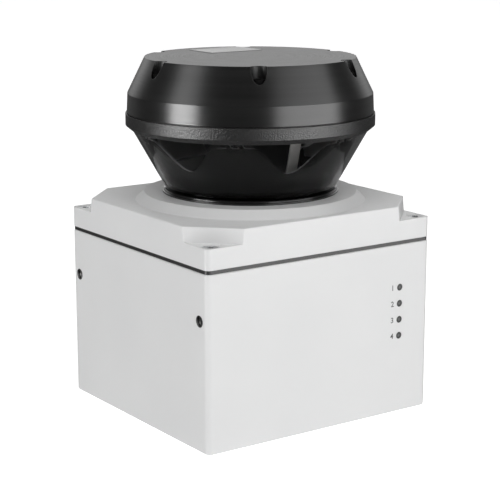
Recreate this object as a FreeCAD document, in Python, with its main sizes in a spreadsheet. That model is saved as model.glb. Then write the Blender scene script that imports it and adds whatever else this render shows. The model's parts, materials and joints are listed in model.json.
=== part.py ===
"""Lidar scanner module: base box, conical window, drive head and everything inside them.

The origin is on the scan axis, in the plane of the base. +Z runs up the scan axis, and the face
with the four status lamps looks along -Y. Lengths are in millimetres, angles in degrees.
"""
import FreeCAD
import Part
import math
import os
import re

import Sketcher

document = FreeCAD.newDocument("lidar_scanner")
dims = document.addObject("Spreadsheet::Sheet", "Dims")

# Each driving dimension: alias, value, meaning.
DRIVING = [
    ("box_width", 150, "base box, side to side"),
    ("box_depth", 142, "base box, front to back"),
    ("box_shift", 2.4, "box centre behind the scan axis"),
    ("base_height", 97.3, "height of the base housing"),
    ("wall", 3.5, "casting wall"),
    ("floor_thickness", 4, "housing floor"),
    ("corner_round", 3, "rounding of the upright edges"),
    ("post_side", 14, "side of a corner post, from the outer faces"),
    ("screw_inset", 6, "cover screw axis to the outer faces"),
    ("gasket_thickness", 2.1, "rubber between housing and cover"),
    ("pad_level", 110.7, "corner pads of the cover"),
    ("cover_level", 118.9, "flat top of the cover"),
    ("corner_leg", 23.3, "leg of the corner recess at the cover's top"),
    ("recess_draft", 5, "draft of the recess wall, in degrees"),
    ("boss_foot_radius", 65.1, "bevelled boss at its foot"),
    ("boss_top_radius", 60.1, "bevelled boss at its top"),
    ("boss_level", 123.75, "top of the boss"),
    ("mount_level", 71.5, "side mounting holes above the base"),
    ("mount_spacing", 127, "side mounting holes, front to back"),
    ("mount_core_radius", 2.5, "core radius of the M6 side holes"),
    ("lamp_radius", 1.95, "light pipe"),
    ("lamp_across", 54, "column of lamps from the scan axis"),
    ("lamp_low", 44.8, "lowest lamp above the base"),
    ("lamp_pitch", 9.3, "lamp to lamp"),
    ("foot_ring_radius", 49.8, "black ring round the window's foot"),
    ("window_foot_radius", 47.9, "outside of the window at its foot"),
    ("window_foot_level", 126.2, "foot of the window's cone"),
    ("window_top_radius", 66.4, "outside of the window at its top"),
    ("window_top_level", 159.2, "top of the window's cone"),
    ("window_wall", 2.4, "window wall, measured level"),
    ("crest_level", 156.8, "flat crests of the baffle"),
    ("trough_level", 141.5, "troughs of the baffle"),
    ("crest_turn", -12.5, "first crest from +X, in degrees"),
    ("baffle_wall", 1.6, "baffle wall, measured level"),
    ("baffle_gap", 1.2, "baffle to window, measured level"),
    ("ring_radius", 70, "rough ring under the head"),
    ("ring_low", 161.8, "foot of the ring's straight side"),
    ("ring_high", 168.2, "top of the ring"),
    ("seam", 0.4, "seam between ring and cap"),
    ("cap_foot_radius", 69.2, "cap band at its foot"),
    ("shoulder_radius", 68.7, "cap at the shoulder"),
    ("shoulder_level", 179.4, "cap shoulder"),
    ("cap_top_radius", 59, "cap at its top"),
    ("cap_level", 199.2, "top of the cap"),
    ("cap_wall", 3, "cap wall"),
    ("scoop_radius", 4.4, "bore of a screw pocket in the cap"),
    ("scoop_circle", 59, "circle of the screw pockets"),
    ("scoop_floor", 189, "floor of a screw pocket"),
    ("mirror_level", 146, "scan plane above the base"),
    ("drum_radius", 28, "drum that carries the mirror"),
    ("shaft_radius", 4, "motor shaft"),
    ("race_radius", 8, "outside of the ball bearings"),
    ("race_width", 5, "width of the ball bearings"),
    ("ball_radius", 1.15, "bearing ball"),
    ("ball_circle", 6.1, "circle of the ball centres"),
    ("lower_bearing", 161.6, "foot of the lower bearing"),
    ("upper_bearing", 179.5, "foot of the upper bearing"),
    ("deck_low", 161.2, "underside of the head deck"),
    ("scoop_turn", -0.75, "first screw pocket from +X, in degrees"),
    ("label_across", 8.2, "label centre, across"),
    ("label_along", 36.5, "label centre, behind the scan axis"),
    ("label_width", 35, "label, side to side"),
    ("label_depth", 23, "label, front to back"),
    ("deck_circle", 38, "circle of the optics deck's screws"),
    ("barrel_circle", 22, "circle of the lens barrel's screws"),
    ("drive_circle", 44, "circle of the drive board's posts"),
    ("coil_gap", 6.6, "head deck to the stator"),
    ("connector_level", 38, "rear connectors and vent above the base"),
    ("connector_bore", 4.9, "bore of a rear connector"),
    ("connector_shank", 8, "threaded shank of a rear connector"),
    ("vent_across", 34, "pressure vent from the scan axis"),
    ("earth_across", 56, "earth screw from the scan axis"),
    ("earth_level", 22, "earth screw above the base"),
    ("main_board_level", 16, "underside of the main board"),
    ("board_rise", 24, "main board to power board"),
    ("strut_left", -4.6, "left edge of the strut behind the flat cable"),
    ("strut_width", 6.6, "width of that strut"),
    ("barrel_radius", 17.5, "inside of the lens barrel"),
    ("detector_level", 74.3, "underside of the detector board"),
    ("board_thickness", 1.6, "circuit board"),
]
for row, (alias, number, meaning) in enumerate(DRIVING, start=1):
    dims.set("A%d" % row, meaning)
    dims.set("B%d" % row, str(number))
    dims.setAlias("B%d" % row, alias)
document.recompute()

ALIASES = {alias for alias, number, meaning in DRIVING}
PARTS = []
UPRIGHT = FreeCAD.Rotation()
ALONG_X = FreeCAD.Rotation(FreeCAD.Vector(0, 1, 0), 90)
ALONG_Y = FreeCAD.Rotation(FreeCAD.Vector(1, 0, 0), -90)
EAR_UP = FreeCAD.Rotation(FreeCAD.Vector(0, 1, 0), -90)

# Planes and levels that several pieces share, as text for the sheet.
FRONT = "(box_shift - box_depth / 2)"
BACK = "(box_shift + box_depth / 2)"
COVER_FOOT = "(base_height + gasket_thickness)"
SEAT_RADIUS = "(foot_ring_radius - 2.4)"
SEAT_LEVEL = "(boss_level - 4)"
DECK_TOP = "(boss_level + 0.9)"
DECK_BOARD = "(boss_level + 1)"
WINDOW_RISE = "(window_top_level - window_foot_level)"
CONE_RATE = "((window_top_radius - window_foot_radius) / %s)" % WINDOW_RISE
STATOR_FOOT = "(deck_low + coil_gap)"
BELL_TOP = "(deck_low + 26)"
SHAFT_TOP = "(deck_low + 30.6)"
DRUM_TOP = "(window_top_level + 0.4)"

# Places of fasteners, lamps and connectors.
LAMP_LEVELS = ["lamp_low + %d * lamp_pitch" % number for number in range(4)]
LAMP_BOARD_LEVELS = ["lamp_low - 6", "lamp_low + 3 * lamp_pitch + 6"]
BOARD_SCREWS = [("%d * 50" % x, "box_shift + %d * 48" % y) for x in (-1, 1) for y in (-1, 1)]
CONNECTOR_PLACES = ["-30", "5"]

BALL_COUNT = 7
COIL_COUNT = 9
MAGNET_COUNT = 12
WAVE_COUNT = 6
# Half the angle of a trough in the baffle, and the radius at which its outline is drawn.
TROUGH_HALF = 23.5
BAFFLE_MIDDLE = 56.0
# The mirror looks this far from +X at rest, in degrees.
REST_TURN = 90

# Pieces that several boards share a node for, filled as each board is made.
COMPONENTS = []
BOARD_POSTS = []
BOARD_FASTENERS = []


def formula(text):
    """Turn plain alias names into references to the sheet."""
    swap = lambda found: "Dims." + found.group() if found.group() in ALIASES else found.group()
    return re.sub(r"[a-z][a-z_]*", swap, str(text))


def value(text):
    return float(dims.evalExpression(formula(text)))


def bind(target, **sizes):
    for name, text in sizes.items():
        target.setExpression(name, formula(text))


def place(target, x, y, z, rotation=UPRIGHT):
    """Place a shape, with each coordinate bound to the sheet."""
    target.Placement = FreeCAD.Placement(FreeCAD.Vector(value(x), value(y), value(z)), rotation)
    target.setExpression("Placement.Base.x", formula(x))
    target.setExpression("Placement.Base.y", formula(y))
    target.setExpression("Placement.Base.z", formula(z))
    return target


def fresh(name):
    """A name for a construction shape that no other has."""
    return "%s_%d" % (name, len(document.Objects))


def cylinder(radius, x, y, z, length, rotation=UPRIGHT):
    shape = document.addObject("Part::Cylinder", fresh("round"))
    bind(shape, Radius=radius, Height=length)
    return place(shape, x, y, z, rotation)


def cone(foot_radius, top_radius, x, y, z, length, rotation=UPRIGHT):
    shape = document.addObject("Part::Cone", fresh("cone"))
    bind(shape, Radius1=foot_radius, Radius2=top_radius, Height=length)
    return place(shape, x, y, z, rotation)


def block(x, y, z, across, deep, tall):
    """A box given by its centre across and along, and by its underside."""
    shape = document.addObject("Part::Box", fresh("block"))
    bind(shape, Length=across, Width=deep, Height=tall)
    return place(shape, "(%s) - (%s) / 2" % (x, across), "(%s) - (%s) / 2" % (y, deep), z)


def hexagon(across_flats, x, y, z, length, rotation=UPRIGHT):
    shape = document.addObject("Part::Prism", fresh("hexagon"))
    shape.Polygon = 6
    bind(shape, Circumradius="(%s) / cos(30)" % across_flats + " / 2", Height=length)
    return place(shape, x, y, z, rotation)


def torus(radius, section, x, y, z):
    shape = document.addObject("Part::Torus", fresh("torus"))
    bind(shape, Radius1=radius, Radius2=section)
    return place(shape, x, y, z)


def sphere(radius, x, y, z):
    shape = document.addObject("Part::Sphere", fresh("ball"))
    bind(shape, Radius=radius)
    return place(shape, x, y, z)


def fuse(*shapes):
    if len(shapes) == 1:
        return shapes[0]
    joined = document.addObject("Part::MultiFuse", fresh("joined"))
    joined.Shapes = list(shapes)
    return joined


def cut(base, *tools):
    result = document.addObject("Part::Cut", fresh("cut"))
    result.Base = base
    result.Tool = fuse(*tools)
    return result


def common(first, second):
    result = document.addObject("Part::Common", fresh("common"))
    result.Base = first
    result.Tool = second
    return result


def group(*shapes):
    """Separate solids that share one node."""
    together = document.addObject("Part::Compound", fresh("group"))
    together.Links = list(shapes)
    return together


def turned_about_axis(shape, degrees):
    """A copy of a shape turned about the scan axis."""
    copy = document.addObject("Part::Compound", fresh("turned"))
    copy.Links = [shape]
    copy.Placement = FreeCAD.Placement(
        FreeCAD.Vector(), FreeCAD.Rotation(FreeCAD.Vector(0, 0, 1), degrees)
    )
    return copy


def keep(shape, label):
    """Make a shape a finished sub-part under its own name."""
    shape.Label = label
    PARTS.append(shape)
    return shape


def tube(inner, outer, x, y, z, length, rotation=UPRIGHT):
    return cut(
        cylinder(outer, x, y, z, length, rotation), cylinder(inner, x, y, z, length, rotation)
    )


def spots(count, circle, first=0.0):
    """Points on a circle about the scan axis, as text for the sheet."""
    for number in range(count):
        angle = "(%s + %s)" % (first, 360.0 / count * number)
        yield "(%s) * cos(%s)" % (circle, angle), "(%s) * sin(%s)" % (circle, angle)


def origin_plane(body, role):
    return next(plane for plane in body.Origin.OriginFeatures if plane.Role == role)


def new_body(name):
    return document.addObject("PartDesign::Body", name)


def new_sketch(body, name, role="XY_Plane", offset="0"):
    sketch = body.newObject("Sketcher::SketchObject", name)
    sketch.AttachmentSupport = [(origin_plane(body, role), "")]
    sketch.MapMode = "FlatFace"
    sketch.AttachmentOffset = FreeCAD.Placement(
        FreeCAD.Vector(0, 0, value(offset)), FreeCAD.Rotation()
    )
    sketch.setExpression("AttachmentOffset.Base.z", formula(offset))
    return sketch


def pin_point(sketch, edge, end, across, up):
    """Hold one end of an edge at coordinates bound to the sheet."""
    for kind, text in (("DistanceX", across), ("DistanceY", up)):
        held = sketch.addConstraint(Sketcher.Constraint(kind, -1, 1, edge, end, value(text)))
        sketch.setExpression("Constraints[%d]" % held, formula(text))


def draw_outline(sketch, points):
    """Close a chain of straight edges through points bound to the sheet."""
    corners = [FreeCAD.Vector(value(across), value(up), 0) for across, up in points]
    count = len(corners)
    first = sketch.GeometryCount
    for number in range(count):
        sketch.addGeometry(Part.LineSegment(corners[number], corners[(number + 1) % count]))
    for number in range(count):
        following = first + (number + 1) % count
        sketch.addConstraint(Sketcher.Constraint("Coincident", first + number, 2, following, 1))
    for number, (across, up) in enumerate(points):
        pin_point(sketch, first + number, 1, across, up)


def lathe(name, points):
    """A body turned about the scan axis from an outline of (radius, level) points."""
    body = new_body(name)
    sketch = new_sketch(body, name + "_outline", "XZ_Plane")
    draw_outline(sketch, points)
    turned = body.newObject("PartDesign::Revolution", name + "_turned")
    turned.Profile = sketch
    turned.ReferenceAxis = (sketch, ["V_Axis"])
    turned.Angle = 360
    sketch.Visibility = False
    return body


def box_corners(inset):
    """The four outer corners of the base box, drawn in by an inset, as (across, along)."""
    half_width = "(box_width / 2 - (%s))" % inset
    front = "(box_shift - box_depth / 2 + (%s))" % inset
    back = "(box_shift + box_depth / 2 - (%s))" % inset
    return [
        ("-" + half_width, front),
        (half_width, front),
        (half_width, back),
        ("-" + half_width, back),
    ]


def cut_corner_outline(inset, leg):
    """The box outline with each corner cut at 45 degrees, a leg measured along the sides."""
    left, right = "-(box_width / 2 - (%s))" % inset, "(box_width / 2 - (%s))" % inset
    front = "(box_shift - box_depth / 2 + (%s))" % inset
    back = "(box_shift + box_depth / 2 - (%s))" % inset
    return [
        ("%s + %s" % (left, leg), front),
        ("%s - %s" % (right, leg), front),
        (right, "%s + %s" % (front, leg)),
        (right, "%s - %s" % (back, leg)),
        ("%s - %s" % (right, leg), back),
        ("%s + %s" % (left, leg), back),
        (left, "%s - %s" % (back, leg)),
        (left, "%s + %s" % (front, leg)),
    ]


def posted_outline(inset, side):
    """The box outline drawn in by an inset, with a square of a side left out at each corner."""
    left, right = "-(box_width / 2 - (%s))" % inset, "(box_width / 2 - (%s))" % inset
    front = "(box_shift - box_depth / 2 + (%s))" % inset
    back = "(box_shift + box_depth / 2 - (%s))" % inset
    step = "(%s - (%s))" % (side, inset)
    return [
        ("%s + %s" % (left, step), front),
        ("%s - %s" % (right, step), front),
        ("%s - %s" % (right, step), "%s + %s" % (front, step)),
        (right, "%s + %s" % (front, step)),
        (right, "%s - %s" % (back, step)),
        ("%s - %s" % (right, step), "%s - %s" % (back, step)),
        ("%s - %s" % (right, step), back),
        ("%s + %s" % (left, step), back),
        ("%s + %s" % (left, step), "%s - %s" % (back, step)),
        (left, "%s - %s" % (back, step)),
        (left, "%s + %s" % (front, step)),
        ("%s + %s" % (left, step), "%s + %s" % (front, step)),
    ]


def pad_body(body, name, points, low, tall):
    sketch = new_sketch(body, name + "_outline", "XY_Plane", low)
    draw_outline(sketch, points)
    pad = body.newObject("PartDesign::Pad", name + "_pad")
    pad.Profile = sketch
    bind(pad, Length=tall)
    sketch.Visibility = False
    return pad


def pocket_body(body, name, points, high, deep):
    sketch = new_sketch(body, name + "_outline", "XY_Plane", high)
    draw_outline(sketch, points)
    pocket = body.newObject("PartDesign::Pocket", name + "_pocket")
    pocket.Profile = sketch
    bind(pocket, Length=deep)
    sketch.Visibility = False
    return pocket


def edges_where(shape, test):
    return ["Edge%d" % (n + 1) for n, edge in enumerate(shape.Edges) if test(edge)]


def is_upright(edge):
    low, high = edge.BoundBox.ZMin, edge.BoundBox.ZMax
    return high - low > 1 and edge.BoundBox.XLength < 0.01 and edge.BoundBox.YLength < 0.01


def at_outer_corner(edge):
    across = value("box_width / 2") - abs(edge.CenterOfMass.x)
    along = value("box_depth / 2") - abs(edge.CenterOfMass.y - value("box_shift"))
    return is_upright(edge) and across < 0.01 and along < 0.01


def round_edges(body, base, test, radius, kind="Fillet"):
    document.recompute()
    rounded = body.newObject("PartDesign::" + kind, fresh(kind.lower()))
    rounded.Base = (base, edges_where(base.Shape, test))
    if kind == "Fillet":
        bind(rounded, Radius=radius)
    else:
        bind(rounded, Size=radius)
    return rounded


def in_plane(edge, level, margin=0.01):
    return abs(edge.BoundBox.ZMin - level) < margin and abs(edge.BoundBox.ZMax - level) < margin


def on_deck_edge(edge):
    """Top edges of the eight-sided deck, and the eight edges that lean down from them."""
    low, high = value("pad_level"), value("cover_level")
    leaning = edge.BoundBox.ZMax - edge.BoundBox.ZMin > high - low - 0.01
    return in_plane(edge, high) or (leaning and edge.BoundBox.ZMin > low - 0.01)


def base_housing():
    """Cast box, open at the top, with a threaded post in each corner."""
    body = new_body("housing_body")
    pad = pad_body(body, "housing", box_corners("0"), "0", "base_height")
    uprights = round_edges(body, pad, at_outer_corner, "corner_round")
    foot = round_edges(body, uprights, lambda edge: in_plane(edge, 0), "1.2")
    round_edges(body, foot, lambda edge: in_plane(edge, value("base_height")), "0.5", "Chamfer")
    pocket_body(
        body,
        "housing_hollow",
        posted_outline("wall", "post_side"),
        "base_height",
        "base_height - floor_thickness",
    )
    holes = []
    for x, y in box_corners("screw_inset"):
        holes.append(cylinder("2.5", x, y, "base_height - 16", "17"))
    for side in (-1, 1):
        mouth = "%d * box_width / 2" % side
        for end in (-1, 1):
            y = "box_shift + %d * mount_spacing / 2" % end
            start = mouth + " - 1" if side < 0 else "box_width / 2 - 10"
            holes.append(cylinder("mount_core_radius", start, y, "mount_level", "11", ALONG_X))
            radii = ("mount_core_radius + 0.7", "mount_core_radius")
            lip = mouth
            if side > 0:
                radii = radii[::-1]
                lip = "box_width / 2 - 0.7"
            holes.append(cone(radii[0], radii[1], lip, y, "mount_level", "0.7", ALONG_X))
    for level in LAMP_LEVELS:
        start = FRONT + " - 1"
        holes.append(cylinder("lamp_radius + 0.05", "lamp_across", start, level, "wall + 2", ALONG_Y))
    inside = BACK + " - wall - 1"
    rear_holes = [("connector_shank + 0.1", x, "connector_level") for x in CONNECTOR_PLACES]
    rear_holes += [("5.1", "vent_across", "connector_level"), ("2", "earth_across", "earth_level")]
    for radius, x, level in rear_holes:
        holes.append(cylinder(radius, x, inside, level, "wall + 2", ALONG_Y))
    bosses = []
    for x, y in BOARD_SCREWS:
        tall = "main_board_level - floor_thickness + 0.5"
        bosses.append(cylinder("4", x, y, "floor_thickness - 0.5", tall))
        holes.append(cylinder("1.5", x, y, "floor_thickness + 2", "main_board_level"))
    for level in LAMP_BOARD_LEVELS:
        rest = cylinder("2.4", "lamp_across", FRONT + " + wall - 0.5", level, "4.5", ALONG_Y)
        bosses.append(rest)
        holes.append(cylinder("0.9", "lamp_across", FRONT + " + wall", level, "5", ALONG_Y))
    keep(cut(fuse(body, *bosses), *holes), "base_housing")


def housing_gasket():
    """Flat rubber frame with an ear round each cover screw."""
    body = new_body("gasket_body")
    pad = pad_body(body, "gasket", box_corners("0.35"), "base_height", "gasket_thickness")
    round_edges(body, pad, is_upright, "corner_round - 0.35")
    pocket_body(
        body,
        "gasket_window",
        posted_outline("wall + 1", "post_side"),
        COVER_FOOT + " + 1",
        "gasket_thickness + 2",
    )
    holes = [cylinder("2.75", x, y, "base_height - 1", "5") for x, y in box_corners("screw_inset")]
    keep(cut(body, *holes), "housing_gasket")


def top_cover():
    """Cast cover: a low slab, an eight-sided deck with drafted corners, and a bevelled boss."""
    body = new_body("cover_body")
    slab = pad_body(body, "cover_slab", box_corners("0"), COVER_FOOT, "pad_level - " + COVER_FOOT)
    round_edges(body, slab, at_outer_corner, "corner_round")
    foot_leg = "(corner_leg - (cover_level - pad_level) * tan(recess_draft) * sqrt(2))"
    low = new_sketch(body, "cover_deck_foot", "XY_Plane", "pad_level")
    draw_outline(low, cut_corner_outline("0", foot_leg))
    high = new_sketch(body, "cover_deck_top", "XY_Plane", "cover_level")
    draw_outline(high, cut_corner_outline("0", "corner_leg"))
    deck = body.newObject("PartDesign::AdditiveLoft", "cover_deck")
    deck.Profile = low
    deck.Sections = [high]
    deck.Ruled = True
    round_edges(body, deck, on_deck_edge, "0.8")
    pocket_body(
        body,
        "cover_hollow",
        cut_corner_outline("wall", "corner_leg - 0.6"),
        "cover_level - 4",
        "cover_level - 4 - " + COVER_FOOT + " + 1",
    )
    bevel = cone(
        "boss_foot_radius", "boss_top_radius", "0", "0", "cover_level", "boss_level - cover_level"
    )
    holes = [
        cylinder("34", "0", "0", "cover_level - 8", "20"),
        cylinder(SEAT_RADIUS, "0", "0", SEAT_LEVEL, "10"),
        block("0", "-36", "cover_level - 8", "11", "6", "12"),
    ]
    for x, y in box_corners("screw_inset"):
        holes.append(cylinder("2.75", x, y, COVER_FOOT + " - 1", "20"))
        holes.append(cylinder("4.4", x, y, "pad_level - 5.4", "10"))
        holes.append(cone("4.4", "4.9", x, y, "pad_level - 0.5", "0.5"))
    for along, (x, y) in zip(((1, 0), (0, 1), (-1, 0), (0, -1)), box_corners("screw_inset")):
        x_dot = "%s + %s * 6.4" % (x, along[0])
        y_dot = "%s + %s * 6.4" % (y, along[1])
        holes.append(cylinder("0.6", x_dot, y_dot, "pad_level - 2", "3"))
    for x, y in spots(6, "deck_circle"):
        holes.append(cylinder("1.3", x, y, SEAT_LEVEL + " - 8", "9"))
    keep(cut(fuse(body, bevel), *holes), "top_cover")


def socket_screw(x, y, seat, head_radius, head_tall, shank_radius, shank_long, key):
    """Socket-head screw, head up, with its head resting at a level."""
    head = cylinder(head_radius, x, y, seat, head_tall)
    tip = "(%s) - (%s)" % (seat, shank_long)
    shank = cylinder(shank_radius, x, y, tip, "(%s) + 0.5" % shank_long)
    socket = hexagon(key, x, y, "(%s) + (%s) * 0.45" % (seat, head_tall), head_tall)
    return cut(fuse(head, shank), socket)


def cover_screws():
    screws = []
    for x, y in box_corners("screw_inset"):
        screws.append(socket_screw(x, y, "pad_level - 5.4", "4.1", "4.9", "2.4", "20", "4"))
    keep(group(*screws), "cover_screws")


def cone_radius(level, inward="0"):
    """Radius of the window's outside at a level, less an inset measured level."""
    return "(window_foot_radius + (%s - window_foot_level) * %s - (%s))" % (level, CONE_RATE, inward)


def window_parts():
    """Foot ring, O-ring, the window itself and the flat seal on its rim."""
    keep(
        lathe(
            "foot_ring_body",
            [
                ("45.2", "boss_level"),
                ("foot_ring_radius", "boss_level"),
                ("foot_ring_radius", "boss_level + 0.9"),
                ("foot_ring_radius - 0.5", "boss_level + 1.2"),
                ("foot_ring_radius - 1.1", "boss_level + 1.2"),
                ("foot_ring_radius - 1.1", "boss_level + 1.7"),
                ("foot_ring_radius - 0.6", "boss_level + 1.7"),
                ("foot_ring_radius - 0.9", "boss_level + 2.2"),
                ("45.2", "boss_level + 2.2"),
            ],
        ),
        "window_foot_ring",
    )
    keep(torus("46.2", "1.15", "0", "0", SEAT_LEVEL + " + 1.6"), "window_seal")
    keep(
        lathe(
            "window_body",
            [
                ("41.5", SEAT_LEVEL + " + 0.1"),
                ("45", SEAT_LEVEL + " + 0.1"),
                ("45", "boss_level + 2.3"),
                ("window_foot_radius", "window_foot_level"),
                ("window_top_radius", "window_top_level"),
                ("window_top_radius", "window_top_level + 5.2"),
                ("window_top_radius - window_wall", "window_top_level + 5.2"),
                ("window_top_radius - window_wall", "window_top_level"),
                (cone_radius("window_foot_level + 2.8", "window_wall"), "window_foot_level + 2.8"),
                ("43", "window_foot_level"),
                ("43", SEAT_LEVEL + " + 2.1"),
                ("41.5", SEAT_LEVEL + " + 2.1"),
            ],
        ),
        "optical_window",
    )
    keep(
        tube(
            "window_top_radius - window_wall + 0.1",
            "window_top_radius - 0.1",
            "0",
            "0",
            "window_top_level + 5.2",
            "0.8",
        ),
        "upper_window_seal",
    )


def optics_deck():
    """Round plate that clamps the window's inner lip to the cover."""
    body = lathe(
        "optics_deck_body",
        [
            ("20", SEAT_LEVEL + " + 0.1"),
            ("41.2", SEAT_LEVEL + " + 0.1"),
            ("41.2", SEAT_LEVEL + " + 2.2"),
            ("42.6", SEAT_LEVEL + " + 2.2"),
            ("42.6", DECK_TOP),
            ("20", DECK_TOP),
        ],
    )
    holes = [cylinder("1.7", x, y, SEAT_LEVEL, "6") for x, y in spots(6, "deck_circle")]
    holes += [cylinder("0.95", x, y, SEAT_LEVEL, "6") for x, y in spots(3, "barrel_circle", 30)]
    holes.append(block("0", "-37.2", SEAT_LEVEL, "11", "2.4", "6"))
    keep(cut(body, *holes), "optics_deck")


def wave_level(turn):
    """Level of the baffle's edge at an angle from a trough, in degrees."""
    low, high = value("trough_level"), value("crest_level")
    return low + (high - low) * (1 - math.cos(math.pi * turn / TROUGH_HALF)) / 2


def light_baffle():
    """Conical shell whose upper edge runs in six waves, with two ears on each crest."""
    outer = "(window_wall + baffle_gap)"
    inner = "(%s + baffle_wall)" % outer
    body = lathe(
        "baffle_body",
        [
            ("36", DECK_BOARD),
            ("42.4", DECK_BOARD),
            ("42.4", "window_foot_level + 0.4"),
            (cone_radius("window_foot_level + 4.3", outer), "window_foot_level + 4.3"),
            (cone_radius("crest_level", outer), "crest_level"),
            (cone_radius("crest_level", inner), "crest_level"),
            (cone_radius("window_foot_level + 4.3", inner), "window_foot_level + 4.3"),
            ("40.6", "window_foot_level + 0.6"),
            ("36", "window_foot_level + 0.6"),
        ],
    )
    sketch = new_sketch(body, "wave_outline", "YZ_Plane", "30")
    steps = 8
    edge = []
    for number in range(-steps, steps + 1):
        turn = TROUGH_HALF * number / steps
        across = BAFFLE_MIDDLE * math.sin(math.radians(turn))
        edge.append(FreeCAD.Vector(across, wave_level(abs(turn)), 0))
    wave = Part.BSplineCurve()
    wave.interpolate(edge)
    top = value("crest_level") + 4
    right = FreeCAD.Vector(edge[-1].x, top, 0)
    left = FreeCAD.Vector(edge[0].x, top, 0)
    sketch.addGeometry(wave)
    sketch.addGeometry(Part.LineSegment(edge[-1], right))
    sketch.addGeometry(Part.LineSegment(right, left))
    sketch.addGeometry(Part.LineSegment(left, edge[0]))
    for number in range(4):
        sketch.addConstraint(Sketcher.Constraint("Coincident", number, 2, (number + 1) % 4, 1))
    trough = body.newObject("PartDesign::Pocket", "wave_trough")
    trough.Profile = sketch
    trough.Reversed = True
    bind(trough, Length="window_top_radius - 30 + 6")
    waves = body.newObject("PartDesign::PolarPattern", "waves")
    waves.Originals = [trough]
    waves.Axis = (origin_plane_axis(body, "Z_Axis"), [""])
    waves.Angle = 360
    waves.Occurrences = WAVE_COUNT
    body.Tip = waves
    body.Placement = FreeCAD.Placement(
        FreeCAD.Vector(), FreeCAD.Rotation(FreeCAD.Vector(0, 0, 1), value("crest_turn") + 30)
    )
    holes = [cylinder("1.4", x, y, "boss_level", "6") for x, y in spots(6, "deck_circle")]
    holes.append(block("0", "-37.4", "boss_level", "10", "3.4", "6"))
    keep(cut(fuse(body, *crest_shelves()), *holes), "light_baffle")


def origin_plane_axis(body, role):
    return next(axis for axis in body.Origin.OriginFeatures if axis.Role == role)


def crest_shelves():
    """Inward shelf for a sensor at each crest, with a pointed ear on each side of it."""
    shelves = []
    for number in range(6):
        shelf = block(CREST_MIDDLE + " - 1.4", "0", "crest_level - 2.4", "3.4", "10", "2.4")
        ears = []
        for side in (-1, 1):
            ear = document.addObject("Part::Prism", fresh("ear"))
            ear.Polygon = 3
            bind(ear, Circumradius="1.8", Height="1.4")
            ears.append(place(ear, CREST_MIDDLE + " + 0.7", side * 3.4, "crest_level + 0.7", EAR_UP))
        shelves.append(turned_about_axis(fuse(shelf, *ears), value("crest_turn") + 60 * number))
    return shelves


CREST_MIDDLE = cone_radius("crest_level", "window_wall + baffle_gap + baffle_wall / 2")


def window_sensors():
    """Small clear-nosed sensor on each crest that watches for dirt on the window."""
    sensors = []
    for number in range(6):
        can = cylinder("1.3", CREST_MIDDLE + " - 1.4", "0", "crest_level", "1.1")
        nose = sphere("1.1", CREST_MIDDLE + " - 1.4", "0", "crest_level + 1.1")
        turn = value("crest_turn") + 60 * number
        sensors.append(turned_about_axis(fuse(can, nose), turn))
    keep(group(*sensors), "window_sensors")


def sensor_ring_board():
    board = tube("26.5", "35.4", "0", "0", DECK_BOARD, "1.6")
    slot = block("0", "-35.5", "boss_level", "12", "5", "6")
    keep(cut(board, slot), "sensor_ring_board")
    for x, y in spots(6, "31", "crest_turn"):
        COMPONENTS.append(block(x, y, DECK_BOARD + " + 1.6", "4", "3", "2.2"))


def deck_screws():
    screws = []
    for x, y in spots(6, "deck_circle"):
        seat = "window_foot_level + 0.62"
        screws.append(socket_screw(x, y, seat, "2.3", "2.5", "1.2", "11", "2.5"))
    for x, y in spots(3, "barrel_circle", 30):
        seat = DECK_BOARD + " + 1.82"
        screws.append(socket_screw(x, y, seat, "1.7", "1.6", "0.85", "5", "1.5"))
    keep(group(*screws), "deck_screws")


def head_shell():
    """Rough ring, flat seal and turned cap."""
    web_foot = "(window_top_level + 6)"
    ring = lathe(
        "ring_body",
        [
            ("window_top_radius + 0.1", "window_top_level"),
            ("window_top_radius + 0.5", "window_top_level"),
            ("ring_radius", "ring_low"),
            ("ring_radius", "ring_high"),
            ("52", "ring_high"),
            ("52", web_foot),
            ("window_top_radius + 0.1", web_foot),
        ],
    )
    screw_places = list(spots(6, "scoop_circle", "scoop_turn"))
    holes = [cylinder("1.6", x, y, web_foot + " - 1", "6") for x, y in screw_places]
    keep(cut(ring, *holes), "head_ring")
    seal = tube("cap_foot_radius - 3", "cap_foot_radius - 0.7", "0", "0", "ring_high", "seam")
    keep(seal, "cap_seal")
    slope = "((shoulder_radius - cap_top_radius) / (cap_level - shoulder_level))"
    shell = lathe(
        "cap_body",
        [
            ("cap_foot_radius - cap_wall", "ring_high + seam"),
            ("cap_foot_radius - 0.3", "ring_high + seam"),
            ("cap_foot_radius", "ring_high + seam + 0.3"),
            ("shoulder_radius", "shoulder_level"),
            ("cap_top_radius", "cap_level"),
            ("0", "cap_level"),
            ("0", "cap_level - cap_wall"),
            ("cap_top_radius - cap_wall + cap_wall * %s" % slope, "cap_level - cap_wall"),
            ("shoulder_radius - cap_wall", "shoulder_level"),
        ],
    )
    posts = []
    bores = []
    for x, y in screw_places:
        posts.append(cylinder("scoop_radius + 1.4", x, y, "ring_high", "cap_level - ring_high - 1"))
        bores.append(cylinder("scoop_radius", x, y, "scoop_floor", "20"))
        bores.append(cylinder("1.75", x, y, "ring_high - 1", "30"))
    limit = lathe(
        "cap_limit_body",
        [
            ("0", "ring_high"),
            ("cap_foot_radius - 1", "ring_high"),
            ("shoulder_radius - 1", "shoulder_level"),
            ("cap_top_radius - 1", "cap_level"),
            ("0", "cap_level"),
        ],
    )
    keep(cut(fuse(shell, common(fuse(*posts), limit)), *bores), "head_cap")
    screws = []
    for x, y in screw_places:
        screws.append(socket_screw(x, y, "scoop_floor", "3.4", "3.6", "1.5", "26.5", "3"))
    keep(group(*screws), "cap_screws")
    plate = ("label_across", "label_along", "cap_level", "label_width", "label_depth", "0.25")
    keep(block(*plate), "blank_label")


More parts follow.
